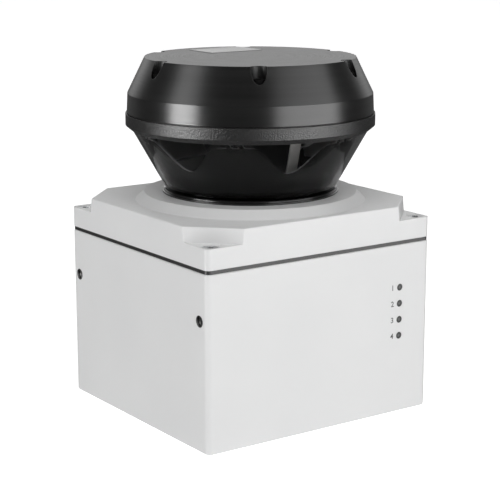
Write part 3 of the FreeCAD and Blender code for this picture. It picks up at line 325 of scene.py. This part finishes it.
# %% Metal recipe
def metal_finish(name, colour, tarnish, roughness):
    """A metal with patches of tarnish. Roughness is a pair, the low and the high end."""
    material, tree, shader = new_finish(name, Metallic=1.0)
    grain = use_group(tree, GRAIN, Scale=1800.0, Detail=5.0, Patches=120.0)
    edge = use_group(tree, EDGE_WEAR_AND_HIGHLIGHT, Radius=0.25 * MM, Breakup=2000.0, Amount=0.6)
    base = mix_colours(tree, grain["Shade"], colour, tarnish)
    brighter = tuple(min(1.0, part * 1.2) for part in colour[:3]) + (1.0,)
    tree.links.new(mix_colours(tree, edge["Mask"], base, brighter), shader.inputs["Base Color"])
    low, high = roughness
    follow_noise(tree, shader, grain["Height"], low, high)
    relief(tree, shader, grain["Height"], 0.02 * MM, 0.5, edge["Normal"])
    return material


steel = (0.56, 0.57, 0.58, 1)
dull_steel = (0.40, 0.40, 0.41, 1)
cage_brass = (0.7, 0.5, 0.2, 1)
dull_cage_brass = (0.5, 0.35, 0.15, 1)
brass = (0.8, 0.58, 0.25, 1)
dull_brass = (0.6, 0.42, 0.18, 1)
nickel = (0.62, 0.60, 0.56, 1)
FINISHES["steel_screws"] = metal_finish("steel screws", steel, dull_steel, (0.22, 0.36))
FINISHES["plain_aluminium"] = metal_finish("aluminium", grey(0.8), grey(0.66), (0.25, 0.4))
FINISHES["bearing_steel"] = metal_finish("bearing steel", grey(0.6), grey(0.5), (0.08, 0.18))
FINISHES["bearing_cage"] = metal_finish("cage brass", cage_brass, dull_cage_brass, (0.2, 0.35))
FINISHES["core_steel"] = metal_finish("core steel", grey(0.35), grey(0.25), (0.3, 0.5))
FINISHES["plain_brass"] = metal_finish("brass", brass, dull_brass, (0.18, 0.3))
FINISHES["nickel_brass"] = metal_finish("nickel plate", nickel, grey(0.45), (0.16, 0.3))
FINISHES["magnet"] = metal_finish("magnet", grey(0.42), grey(0.3), (0.25, 0.4))
FINISHES["encoder_steel"] = metal_finish("encoder steel", grey(0.62), grey(0.5), (0.15, 0.3))

# %% [markdown]
# ### Plain black pieces
# Moulded plastic, anodised aluminium and black oxide differ in grain, shine and how their edges
# wear, but the recipe is the same. Anodising wears to grey metal and plastic to a paler black.

# %% Black recipe
def black_finish(name, level, roughness, grain_scale, depth, worn, coat=0.0):
    """A black of some level, whose edges wear to a paler one."""
    steady = {"IOR": 1.5, "Coat_Weight": coat, "Coat_Roughness": 0.06}
    material, tree, shader = new_finish(name, **steady)
    grain = use_group(tree, GRAIN, Scale=grain_scale, Detail=3.0, Patches=40.0)
    edge = use_group(tree, EDGE_WEAR_AND_HIGHLIGHT, Radius=0.3 * MM, Breakup=1400.0, Amount=0.5)
    dust = use_group(tree, DUST, Amount=0.06)
    colour = mix_colours(tree, grain["Shade"], grey(level), grey(level * 1.35))
    colour = mix_colours(tree, edge["Mask"], colour, grey(worn))
    colour = mix_colours(tree, dust["Mask"], colour, (0.30, 0.29, 0.28, 1))
    tree.links.new(colour, shader.inputs["Base Color"])
    low, high = roughness
    follow_noise(tree, shader, grain["Height"], low, high)
    relief(tree, shader, grain["Height"], depth, 0.6, edge["Normal"])
    return material


fine = 0.02 * MM
FINISHES["black_screws"] = black_finish("black screws", 0.02, (0.3, 0.45), 2200.0, fine, 0.12)
FINISHES["gloss_black"] = black_finish(
    "gloss black", 0.008, (0.16, 0.22), 900.0, 0.001 * MM, 0.012
)
FINISHES["black_anodised"] = black_finish(
    "black anodised", 0.02, (0.4, 0.55), 2000.0, fine, 0.10
)
FINISHES["black_plastic"] = black_finish(
    "black plastic", 0.018, (0.45, 0.6), 1500.0, 0.03 * MM, 0.05
)
FINISHES["sensor_nose"] = black_finish(
    "sensor nose", 0.02, (0.06, 0.12), 500.0, 0.004 * MM, 0.05, 0.8
)

# %% [markdown]
# ### The turned cap
# The cap is turned from aluminium, left with fine rings and anodised black. Grooves that run round
# the axis spread a highlight across them and keep it narrow along them, so lamps show as upright
# streaks on the band. That is what anisotropy does, with its tangent running round the axis and
# turned by a quarter.

# %% Black turned cap
def cap_finish(name, anisotropy):
    steady = {"IOR": 1.5, "Anisotropic": anisotropy, "Anisotropic_Rotation": 0.25}
    material, tree, shader = new_finish(name, **steady)
    rings = use_group(tree, TURNING, Rings_per_metre=4200.0)
    grain = use_group(tree, GRAIN, Scale=1600.0, Detail=4.0, Patches=30.0)
    edge = use_group(tree, EDGE_WEAR_AND_HIGHLIGHT, Radius=0.35 * MM, Breakup=1100.0, Amount=0.5)
    dust = use_group(tree, DUST, Amount=0.05)
    colour = mix_colours(tree, rings["Shade"], grey(0.005), grey(0.009))
    colour = mix_colours(tree, edge["Mask"], colour, grey(0.05))
    colour = mix_colours(tree, dust["Mask"], colour, (0.20, 0.19, 0.18, 1))
    tree.links.new(colour, shader.inputs["Base Color"])
    both = calculate(tree, "ADD", rings["Height"], calculate(tree, "MULTIPLY", grain["Height"], 0.5))
    tree.links.new(stretch(tree, both, 0.45, 1.05, 0.30, 0.42), shader.inputs["Roughness"])
    relief(tree, shader, both, 0.012 * MM, 0.5, edge["Normal"])
    tangent = add_node(tree, "ShaderNodeTangent", direction_type="RADIAL", axis="Z")
    tree.links.new(tangent.outputs["Tangent"], shader.inputs["Tangent"])
    return material


FINISHES["black_turned_cap"] = cap_finish("black turned cap", 0.75)

# %% [markdown]
# ### The sandy ring
# The ring under the cap has a coarse, sandy coat. Its grit is nearly a millimetre across, so a
# cell pattern gives separate grains, and their tips shine a little more than the hollows.

# %% Rough black ring
def sandy_finish():
    material, tree, shader = new_finish("rough black", IOR=1.5)
    place = add_node(tree, "ShaderNodeTexCoord").outputs["Object"]
    cells = add_node(tree, "ShaderNodeTexVoronoi", {"Vector": place, "Scale": 1150.0})
    grain = use_group(tree, GRAIN, Scale=1700.0, Detail=4.0, Patches=60.0)
    edge = use_group(tree, EDGE_WEAR_AND_HIGHLIGHT, Radius=0.4 * MM, Breakup=1500.0, Amount=0.5)
    grit = calculate(tree, "SUBTRACT", grain["Height"], cells.outputs["Distance"])
    tips = stretch(tree, grit, 0.0, 0.35)
    colour = mix_colours(tree, tips, grey(0.003), grey(0.011))
    colour = mix_colours(tree, edge["Mask"], colour, grey(0.09))
    tree.links.new(colour, shader.inputs["Base Color"])
    tree.links.new(stretch(tree, grit, -0.2, 0.4, 0.46, 0.28), shader.inputs["Roughness"])
    relief(tree, shader, grit, 0.15 * MM, 0.8, edge["Normal"])
    return material


FINISHES["rough_black"] = sandy_finish()

# %% [markdown]
# ### The tinted window
# The window is a dark plastic that lets infrared through and little visible light. It is real glass
# to the renderer: light goes in, is dimmed and comes out, so the baffle and the strut behind it show
# faintly. Its index is set low, because this window shows hardly any reflection. The back is a blind
# sector, where the beam never looks. It is blacked out for 1.22 radians to either side, as is the
# foot where the window is glued. Both are only a change of colour inside the one finish.

# %% Tinted window
window_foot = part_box("optical_window")[0].z
blind_half = 1.22
glue_height = 8.0 * MM
soft_edge = 0.5 * MM


def window_finish():
    steady = {"Transmission_Weight": 1.0, "IOR": 1.2, "Metallic": 0.0}
    material, tree, shader = new_finish("tinted window", **steady)
    grain = use_group(tree, GRAIN, Scale=90.0, Detail=1.0, Patches=14.0)
    smears = use_group(tree, GRAIN, Scale=400.0, Detail=6.0, Patches=80.0)
    colour = mix_colours(tree, grain["Shade"], grey(0.54), grey(0.58))
    place = add_node(tree, "ShaderNodeTexCoord").outputs["Object"]
    split = add_node(tree, "ShaderNodeSeparateXYZ", {"Vector": place}).outputs
    angle = calculate(tree, "ARCTAN2", split["X"], split["Y"])
    from_back = calculate(tree, "ABSOLUTE", angle)
    blind = stretch(tree, from_back, blind_half + 0.02, blind_half)
    glue_line = window_foot + glue_height
    glued = stretch(tree, split["Z"], glue_line, glue_line - soft_edge)
    covered = calculate(tree, "MAXIMUM", blind, glued)
    colour = mix_colours(tree, covered, colour, grey(0.0))
    tree.links.new(colour, shader.inputs["Base Color"])
    tree.links.new(stretch(tree, smears["Shade"], 0.3, 1.0, 0.02, 0.06), shader.inputs["Roughness"])
    relief(tree, shader, grain["Height"], 0.05 * MM, 0.15)
    return material


FINISHES["tinted_window"] = window_finish()

# %% [markdown]
# ### Lenses and mirror
# The receiver and laser lenses are clear coated glass. The scan mirror is silvered on its front
# face, so it has no glass in front of the metal, only a breath of haze.

# %% Clear glass and front mirror
def glass_finish():
    steady = {"Transmission_Weight": 1.0, "IOR": 1.52, "Coat_Weight": 0.3}
    material, tree, shader = new_finish("clear glass", **steady)
    grain = use_group(tree, GRAIN, Scale=300.0, Detail=3.0, Patches=60.0)
    colour = mix_colours(tree, grain["Shade"], (0.90, 0.94, 0.98, 1), (0.94, 0.95, 1.0, 1))
    tree.links.new(colour, shader.inputs["Base Color"])
    tree.links.new(stretch(tree, grain["Height"], 0.4, 0.8, 0.0, 0.03), shader.inputs["Roughness"])
    return material


def mirror_finish():
    material, tree, shader = new_finish("front mirror", Metallic=1.0)
    grain = use_group(tree, GRAIN, Scale=500.0, Detail=5.0, Patches=70.0)
    colour = mix_colours(tree, grain["Shade"], (0.90, 0.90, 0.89, 1), (0.95, 0.95, 0.94, 1))
    tree.links.new(colour, shader.inputs["Base Color"])
    tree.links.new(stretch(tree, grain["Height"], 0.3, 0.8, 0.01, 0.06), shader.inputs["Roughness"])
    return material


FINISHES["clear_glass"] = glass_finish()
FINISHES["front_mirror"] = mirror_finish()

# %% [markdown]
# ### Status lamps
# Each lamp is the end of a smoked light pipe. From outside it is a dark disc whose middle is paler,
# because there the eye looks straight down the pipe to the diode. The distance from the nearest
# lamp axis drives that, and the axes come from the box round the four pipes.

# %% Lamp lens
lamp_low, lamp_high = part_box("lamp_light_pipes")
lamp_radius = (lamp_high.x - lamp_low.x) / 2
lamp_x = (lamp_high.x + lamp_low.x) / 2
lamp_count = 4
lamp_pitch = (lamp_high.z - lamp_low.z - 2 * lamp_radius) / (lamp_count - 1)
lamp_levels = [lamp_low.z + lamp_radius + step * lamp_pitch for step in range(lamp_count)]
print("lamps at heights", [round(level / MM, 1) for level in lamp_levels], "mm")


def lamp_finish():
    material, tree, shader = new_finish("lamp lens", IOR=1.3)
    place = add_node(tree, "ShaderNodeTexCoord").outputs["Object"]
    split = add_node(tree, "ShaderNodeSeparateXYZ", {"Vector": place}).outputs
    above_first = calculate(tree, "SUBTRACT", split["Z"], lamp_levels[0])
    nearest = calculate(tree, "PINGPONG", above_first, lamp_pitch / 2)
    aside = calculate(tree, "ABSOLUTE", calculate(tree, "SUBTRACT", split["X"], lamp_x))
    offset = add_node(tree, "ShaderNodeCombineXYZ", {"X": aside, "Y": nearest}).outputs[0]
    away = add_node(tree, "ShaderNodeVectorMath", {0: offset}, operation="LENGTH").outputs["Value"]
    middle = stretch(tree, away, lamp_radius * 0.75, lamp_radius * 0.1)
    colour = mix_colours(tree, middle, grey(0.012), grey(0.10))
    tree.links.new(colour, shader.inputs["Base Color"])
    tree.links.new(stretch(tree, middle, 0.0, 1.0, 0.30, 0.40), shader.inputs["Roughness"])
    return material


FINISHES["lamp_lens"] = lamp_finish()

# %% [markdown]
# ### Circuit boards
# A board has a green solder mask over copper tracks, which show as faint raised lines. A brick
# pattern gives lines that run straight and turn square, which is near enough to tracks at this size.

# %% Circuit board
def board_finish():
    material, tree, shader = new_finish("circuit board", IOR=1.5, Coat_Weight=0.4)
    place = add_node(tree, "ShaderNodeTexCoord").outputs["Object"]
    bricks = {"Vector": place, "Scale": 160.0, "Mortar Size": 0.03, "Brick Width": 0.9}
    tracks = add_node(tree, "ShaderNodeTexBrick", bricks).outputs["Fac"]
    grain = use_group(tree, GRAIN, Scale=1200.0, Detail=3.0, Patches=50.0)
    colour = mix_colours(tree, grain["Shade"], (0.012, 0.10, 0.045, 1), (0.02, 0.14, 0.06, 1))
    colour = mix_colours(tree, tracks, colour, (0.035, 0.20, 0.09, 1))
    tree.links.new(colour, shader.inputs["Base Color"])
    follow_noise(tree, shader, grain["Height"], 0.30, 0.45)
    relief(tree, shader, calculate(tree, "ADD", tracks, grain["Height"]), 0.03 * MM, 0.4)
    return material


FINISHES["circuit_board"] = board_finish()

# %% [markdown]
# ### Windings, heater film and flat cable
# Wound copper wire, the conductors of an amber heater film and those of a flat cable all show as
# parallel lines. A wave texture that varies along one direction gives them, and the two colours,
# the density of the lines and the direction tell the three apart.

# %% Striped recipe
def striped_finish(name, first, second, lines, axis, roughness):
    """Parallel conductors that follow one another along an axis."""
    material, tree, shader = new_finish(name, IOR=1.5, Coat_Weight=0.2)
    place = add_node(tree, "ShaderNodeTexCoord").outputs["Object"]
    wave = {"Vector": place, "Scale": lines, "Distortion": 0.0}
    bars = add_node(tree, "ShaderNodeTexWave", wave, bands_direction=axis).outputs["Fac"]
    grain = use_group(tree, GRAIN, Scale=1500.0, Detail=3.0, Patches=80.0)
    striped = mix_colours(tree, bars, first, second)
    shaded = mix_colours(tree, grain["Shade"], grey(0.88), grey(1.0))
    colour = mix_colours(tree, 1.0, striped, shaded, "MULTIPLY")
    tree.links.new(colour, shader.inputs["Base Color"])
    low, high = roughness
    follow_noise(tree, shader, grain["Height"], low, high)
    relief(tree, shader, bars, 0.05 * MM, 0.5)
    return material


copper = (0.55, 0.20, 0.07, 1)
gap_copper = (0.20, 0.06, 0.02, 1)
amber = (0.45, 0.20, 0.04, 1)
pale_amber = (0.60, 0.32, 0.08, 1)
white_film = (0.82, 0.81, 0.79, 1)
grey_film = (0.62, 0.61, 0.59, 1)
FINISHES["copper_wire"] = striped_finish(
    "copper wire", copper, gap_copper, 900.0, "Z", (0.2, 0.35)
)
FINISHES["heater_film"] = striped_finish(
    "heater film", amber, pale_amber, 250.0, "X", (0.25, 0.4)
)
FINISHES["flat_cable"] = striped_finish(
    "flat cable", white_film, grey_film, 400.0, "X", (0.3, 0.45)
)

# %% [markdown]
# ### The blank label
# A rating label sits on the cap's flat top. What it says is left out, so it is a plain satin grey
# film with a slightly darker border.

# %% Grey label
def label_finish():
    material, tree, shader = new_finish("grey label", IOR=1.5, Coat_Weight=0.3, Coat_Roughness=0.15)
    grain = use_group(tree, GRAIN, Scale=1800.0, Detail=3.0, Patches=60.0)
    edge = use_group(tree, EDGE_WEAR_AND_HIGHLIGHT, Radius=0.5 * MM, Breakup=300.0, Amount=0.6)
    colour = mix_colours(tree, grain["Shade"], grey(0.36), grey(0.42))
    colour = mix_colours(tree, edge["Mask"], colour, grey(0.24))
    tree.links.new(colour, shader.inputs["Base Color"])
    follow_noise(tree, shader, grain["Height"], 0.35, 0.48)
    relief(tree, shader, grain["Height"], 0.01 * MM, 0.5, edge["Normal"])
    return material


FINISHES["grey_label"] = label_finish()

# %% [markdown]
# ## Hand each piece its finish
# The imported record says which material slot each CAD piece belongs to. The finishes are kept under
# the names of those slots, and a loop dresses every piece, so none is forgotten.

# %% Dress the CAD pieces
for part in frame["record"]["subparts"]:
    mesh = nodes[part["node"]].data
    finish = FINISHES[part["material_slot"]]
    if mesh.materials:
        for index in range(len(mesh.materials)):
            mesh.materials[index] = finish
    else:
        mesh.materials.append(finish)

# %% [markdown]
# The flat top of the cap was faced in the same set-up as its sides, but a level face in even light
# shows no streaks. It gets the same finish without the stretched highlight.

# %% The cap's flat top
cap = nodes["head_cap"].data
cap_low, cap_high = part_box("head_cap")
cap.materials.append(cap_finish("black faced top", 0.0))
faced = 0
for face in cap.polygons:
    if face.normal.z > 0.99 and face.center.z > cap_high.z - 0.5 * MM:
        face.material_index = len(cap.materials) - 1
        faced += 1
print("faces in the flat top:", faced)

# %% [markdown]
# The baffle is sprayed matt black. Its thin wavy edge is coloured grey as a painted highlight, which
# draws its outline behind the window. The edge is told from the rest by its faces, which look up and
# lie 14 mm or more above the baffle's foot. A low index keeps the wall itself free of shine.

# %% The baffle's own finish
baffle = nodes["light_baffle"].data
edge_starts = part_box("light_baffle")[0].z + 14 * MM
baffle.materials[0] = black_finish("baffle black", 0.007, (0.5, 0.65), 1500.0, 0.03 * MM, 0.05)
baffle.materials[0].node_tree.nodes["Principled BSDF"].inputs["IOR"].default_value = 1.2
# The grey of the edge is a painted highlight along the top of the wave.
baffle.materials.append(black_finish("edge painted highlight", 0.40, (0.4, 0.55), 1500.0, 0.02 * MM, 0.5))
highlit = 0
for face in baffle.polygons:
    if face.normal.z > 0.35 and face.center.z > edge_starts:
        face.material_index = 1
        highlit += 1
print("rubbed faces on the baffle's edge:", highlit)

# %% [markdown]
# The tapped side holes were plugged while the box was painted, so inside they are bare metal. Their
# dark colour is painted shade for the depth of the holes. The record gives the middle of each pair
# and their spacing, and the faces near each hole's axis are its walls.

# %% The walls of the side holes
wall_reach = 3.4 * MM
search_depth = 12 * MM
side_face = cad_high.x - 0.01 * MM
housing = nodes["base_housing"].data
# The bore's dark grey is painted shade inside the hole.
housing.materials.append(metal_finish("bore with painted shade", grey(0.10), grey(0.05), (0.4, 0.55)))
hole_places = []
for mount in frame["record"]["mounts"]:
    if mount["name"].endswith("side_holes"):
        for end in (-1, 1):
            shift = end * mount["dims"]["spacing_x_mm"] * MM / 2
            hole_places.append(Vector(mount["pos_m"]) + Vector((0, shift, 0)))
bare = 0
for face in housing.polygons:
    for mouth in hole_places:
        offset = face.center - mouth
        near_axis = math.hypot(offset.y, offset.z) < wall_reach
        if near_axis and abs(offset.x) < search_depth and abs(face.center.x) < side_face:
            face.material_index = len(housing.materials) - 1
            bare += 1
print("bare faces in", len(hole_places), "side holes:", bare)

# %% [markdown]
# The screws of the cap sit deep in their pockets and are blackened, so they hardly show. The milled
# walls of the pockets are nearly as dull. Both are coloured darker than the cap, as painted shade for
# the depth of the pockets. The six pockets stand on a circle round the scan axis. A face belongs to
# one if it lies within the cutter's reach of its axis and is either upright or down at the pocket's
# floor. Faces further down are the inside of the cap and keep its finish.

# %% The cap screws and their pockets
# Near-black colours, darker than the cap's: real black parts with painted shade for the pockets.
pocket_black_and_shade = black_finish("pocket black with painted shade", 0.004, (0.45, 0.6), 2200.0, 0.02 * MM, 0.015)
screw_black_and_shade = black_finish("screw black with painted shade", 0.003, (0.7, 0.8), 2200.0, 0.02 * MM, 0.01)
screw_black_and_shade.node_tree.nodes["Principled BSDF"].inputs["IOR"].default_value = 1.1
nodes["cap_screws"].data.materials[0] = screw_black_and_shade
cap.materials.append(pocket_black_and_shade)
screw_count = 6
screw_circle = 59.0 * MM
first_screw = math.radians(-0.75)
cutter_reach = 4.45 * MM
below_floors = cap_low.z + 19 * MM
above_floors = cap_high.z - 9 * MM
walls = 0
for face in cap.polygons:
    for number in range(screw_count):
        turn = first_screw + 2 * math.pi * number / screw_count
        across = face.center.x - screw_circle * math.cos(turn)
        along = face.center.y - screw_circle * math.sin(turn)
        near_axis = math.hypot(across, along) < cutter_reach
        upright = abs(face.normal.z) < 0.1 or face.center.z < above_floors
        if near_axis and upright and face.center.z > below_floors:
            face.material_index = len(cap.materials) - 1
            walls += 1
print("dull faces in the six pockets:", walls)

# %% [markdown]
# ## Threads
# A thread is one ridge that winds along a cylinder, so each is built by carrying a triangle round
# and along the axis, with a step of one fortieth of a turn. The triangle's foot lies on the root
# radius and its point on the tip radius. A tip inside the root makes the thread of a hole.

# %% Thread maker
def thread(name, start, along, root, tip, pitch, length, finish, steps=40):
    """A closed helical ridge. It starts at a point, runs along a unit vector, and peaks at tip."""
    across = along.orthogonal().normalized()
    third = along.cross(across)
    half_width = 0.42 * pitch  # leaves a narrow flat between one turn and the next
    profile = [(root, -half_width), (tip, 0.0), (root, half_width)]
    count = int((length - pitch) / pitch * steps)
    corners = []
    for number in range(count + 1):
        angle = 2 * math.pi * number / steps
        level = pitch / 2 + pitch * number / steps
        outward = across * math.cos(angle) + third * math.sin(angle)
        for radius, shift in profile:
            corners.append(start + outward * radius + along * (level + shift))
    faces = [(0, 1, 2), (3 * count + 2, 3 * count + 1, 3 * count)]
    for number in range(count):
        base = 3 * number
        for side in range(3):
            following = (side + 1) % 3
            faces.append((base + side, base + 3 + side, base + 3 + following, base + following))
    mesh = bpy.data.meshes.new(name)
    mesh.from_pydata(corners, [], faces)
    shape = bmesh.new()
    shape.from_mesh(mesh)
    bmesh.ops.recalc_face_normals(shape, faces=shape.faces)
    shape.to_mesh(mesh)
    shape.free()
    mesh.materials.append(finish)
    piece = bpy.data.objects.new(name, mesh)
    bpy.context.scene.collection.objects.link(piece)
    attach(piece, "base")
    print(name, "has", len(faces), "faces")


# %% [markdown]
# ### Threads in the side holes
# The side holes take an M6 screw, with one turn to the millimetre. Each thread starts at the mouth
# and runs inward. It rides on the base, as the housing does.

# %% M6 threads
# The threads' dark grey is painted shade inside the holes.
shaded_thread = metal_finish("thread with painted shade", grey(0.26), grey(0.16), (0.3, 0.45))
for number, mouth in enumerate(hole_places, start=1):
    inward = Vector((-math.copysign(1.0, mouth.x), 0, 0))
    label = "side_hole_thread_%d" % number
    thread(label, mouth, inward, 2.49 * MM, 2.05 * MM, 1.0 * MM, 9.0 * MM, shaded_thread)

# %% [markdown]
# ### Threads on the rear collars
# The collar of each rear connector carries an M12 thread for the nut of the cable. Its flange is a
# hexagon, 20 mm across its flats, that points sideways, so the collar's axis lies half a width over
# corners in from the end of the box round both connectors.

# %% M12 threads
shells_low, shells_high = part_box("rear_connector_shells")
flange_flats = 20 * MM
flange_reach = flange_flats / 2 / math.cos(math.radians(30))
collar_length = 8.4 * MM
collar_level = (shells_low.z + shells_high.z) / 2
collar_metal = FINISHES["nickel_brass"]
rearward = Vector((0, 1, 0))
collar_places = (shells_low.x + flange_reach, shells_high.x - flange_reach)
for number, across in enumerate(collar_places, start=1):
    start = Vector((across, shells_high.y - collar_length, collar_level))
    label = "collar_thread_%d" % number
    thread(label, start, rearward, 5.98 * MM, 6.35 * MM, 1.0 * MM, 8.2 * MM, collar_metal)

# %% [markdown]
# ## Lamp numbers
# Each lamp has a short printed mark beside it. Plain numbers from 1 to 4, counted from the top,
# stand in for the printed words. The ink is a film a few hundredths of a millimetre thick.

# %% Printed numbers
ink = black_finish("grey ink", 0.045, (0.5, 0.6), 2500.0, 0.005 * MM, 0.06)
half_film = 0.015 * MM
number_x = lamp_x - 5.2 * MM
front_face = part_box("base_housing")[0].y
for number, level in enumerate(reversed(lamp_levels), start=1):
    letters = bpy.data.curves.new("number", "FONT")
    letters.body = str(number)
    letters.size = 4.4 * MM
    letters.offset = 0.05 * MM
    letters.extrude = half_film
    letters.align_x = "CENTER"
    letters.align_y = "CENTER"
    drawn = bpy.data.objects.new("number_draft", letters)
    mesh = bpy.data.meshes.new_from_object(drawn)
    bpy.data.objects.remove(drawn)
    mesh.name = "lamp_number_%d" % number
    mesh.materials.clear()
    mesh.materials.append(ink)
    for corner in mesh.vertices:
        flat = corner.co.copy()
        corner.co = (number_x + flat.x, front_face - half_film - flat.z, level + flat.y)
    printed = bpy.data.objects.new(mesh.name, mesh)
    bpy.context.scene.collection.objects.link(printed)
    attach(printed, "base")
print("printed", len(lamp_levels), "numbers")

# %% [markdown]
# ## Light
# A product like this is shot on a glowing white sweep. The wall behind the object is white, which
# the flat top of the cap mirrors. All other directions are dim, so that the black pieces stay black.
# Light that reaches the pieces behind the window is made stronger, since the dark tint takes so
# much of it. The camera itself sees pure white everywhere.

# %% Surroundings
world = bpy.data.worlds.new("studio")
bpy.context.scene.world = world
world.use_nodes = True
air = world.node_tree
air.nodes.clear()
direction = add_node(air, "ShaderNodeTexCoord").outputs["Generated"]
height = add_node(air, "ShaderNodeSeparateXYZ", {"Vector": direction}).outputs["Z"]
straight_back = (0.574, 0.819, 0.0)
both = {0: direction, 1: straight_back}
facing_back = add_node(air, "ShaderNodeVectorMath", both, operation="DOT_PRODUCT").outputs["Value"]
low_down = stretch(air, height, 0.60, 0.25)
above = calculate(air, "MULTIPLY", low_down, stretch(air, height, 0.02, 0.14))
back_wall = calculate(air, "MULTIPLY", stretch(air, facing_back, 0.55, 0.85), above)
glow = calculate(air, "ADD", calculate(air, "MULTIPLY", back_wall, 1.2), 0.10)
path = add_node(air, "ShaderNodeLightPath").outputs
indoors = calculate(air, "MULTIPLY", path["Is Transmission Ray"], path["Diffuse Depth"])
indoors = calculate(air, "MULTIPLY", calculate(air, "MINIMUM", indoors, 1.0), 1.3)
glow = calculate(air, "ADD", glow, indoors)
by_ray = {0: path["Is Camera Ray"], 2: glow, 3: 1.0}
seen = add_node(air, "ShaderNodeMix", by_ray, data_type="FLOAT")
background = add_node(air, "ShaderNodeBackground", {"Strength": seen.outputs[0]})
background.inputs["Color"].default_value = grey(1.0)
world_out = add_node(air, "ShaderNodeOutputWorld")
air.links.new(background.outputs[0], world_out.inputs["Surface"])
print("surroundings made of", len(air.nodes), "nodes")

# %% [markdown]
# Area lights do two jobs here. Fills light the paint softly and stay out of reflections. Panels do
# the reverse: only glossy surfaces see them, and they draw the upright streaks on the turned cap, a
# narrow hot one on its left and a broad dim one on its right.

# %% Soft lights
LIGHT_AIM = Vector((0, 0, 0.12))
LIGHT_DISTANCE = 1.6


def soft_light(name, azimuth, elevation, width, tall, radiance, job):
    """An area light aimed at the object. Azimuth 0 is the side with the status lamps."""
    lamp = bpy.data.lights.new(name, "AREA")
    lamp.shape = "RECTANGLE"
    lamp.size = width
    lamp.size_y = tall
    lamp.energy = radiance * math.pi * width * tall
    holder = bpy.data.objects.new(name, lamp)
    bpy.context.scene.collection.objects.link(holder)
    turn = math.radians(azimuth)
    lift = math.radians(elevation)
    away = (math.sin(turn) * math.cos(lift), -math.cos(turn) * math.cos(lift), math.sin(lift))
    holder.location = LIGHT_AIM + Vector(away) * LIGHT_DISTANCE
    holder.rotation_euler = (-Vector(away)).to_track_quat("-Z", "Y").to_euler()
    holder.visible_camera = False
    holder.visible_glossy = job == "panel"
    holder.visible_diffuse = job == "fill"
    holder.visible_transmission = job == "fill"
    print(name, "light at", [round(part, 2) for part in holder.location])


soft_light("front fill", 14, 8, 1.4, 1.0, 0.36, "fill")
soft_light("corner fill", -38, 10, 1.2, 1.0, 0.28, "fill")
soft_light("left fill", -90, 24, 1.2, 1.0, 0.60, "fill")
soft_light("high fill", -30, 62, 1.8, 1.6, 2.05, "fill")
soft_light("left streak", -98, 2, 0.75, 1.1, 20.0, "panel")
soft_light("right panel", 20, 6, 1.95, 1.5, 6.2, "panel")


# %% [markdown]
# ## Floor
# The sweep is a plain pale sheet, wide enough to fill the view behind the object. It glows like a
# light table, so that it stays white right up to the object's foot. The camera sees the full glow,
# and what falls on the object is less, so that its sides don't look lit from below. Glossy
# pieces and the window don't see it at all, or its glow would fill them with white.

# %% Pale floor
def floor_finish():
    material, tree, shader = new_finish("white sweep", Roughness=0.7)
    shader.inputs["Base Color"].default_value = grey(0.8)
    shader.inputs["Specular IOR Level"].default_value = 0.1
    for_camera = add_node(tree, "ShaderNodeLightPath").outputs["Is Camera Ray"]
    glow = mix_colours(tree, for_camera, grey(0.60), grey(0.84))
    tree.links.new(glow, shader.inputs["Emission Color"])
    shader.inputs["Emission Strength"].default_value = 1.0
    return material


def disc(name, radius, sides=96):
    """A flat round sheet."""
    shape = bmesh.new()
    bmesh.ops.create_circle(shape, cap_ends=True, radius=radius, segments=sides)
    mesh = bpy.data.meshes.new(name)
    shape.to_mesh(mesh)
    shape.free()
    piece = bpy.data.objects.new(name, mesh)
    bpy.context.scene.collection.objects.link(piece)
    return piece


floor = disc("floor", 12.0)
floor.location.z = cad_low.z - 0.05 * MM
floor.data.materials.append(floor_finish())
floor.visible_glossy = False
floor.visible_transmission = False
print("floor at", round(floor.location.z / MM, 2), "mm")

# %% [markdown]
# ## Camera
# The camera looks slightly down at a corner of the box, with a long lens that keeps the upright
# edges nearly parallel. Its place is given as a direction and a distance from a point inside the
# box, and a small step to the side.

# %% Camera
CAMERA_AZIMUTH = -35.045
CAMERA_ELEVATION = 12.733
CAMERA_DISTANCE = 0.87855
CAMERA_ASIDE = 0.0012
look_at = Vector((0.0, 0.0024, 0.0879))
turn = math.radians(CAMERA_AZIMUTH)
lift = math.radians(CAMERA_ELEVATION)
back = Vector((math.sin(turn) * math.cos(lift), -math.cos(turn) * math.cos(lift), math.sin(lift)))
sideways = Vector((math.cos(turn), math.sin(turn), 0))
camera_data = bpy.data.cameras.new("camera")
camera_data.lens = 110.2
camera_data.sensor_width = 36
camera = bpy.data.objects.new("camera", camera_data)
bpy.context.scene.collection.objects.link(camera)
camera.location = look_at + back * CAMERA_DISTANCE + sideways * CAMERA_ASIDE
camera.rotation_mode = "QUATERNION"
camera.rotation_quaternion = (-back).to_track_quat("-Z", "Y")
bpy.context.scene.camera = camera
bpy.context.scene.view_settings.view_transform = "Standard"
print("camera at", [round(part, 4) for part in camera.location])
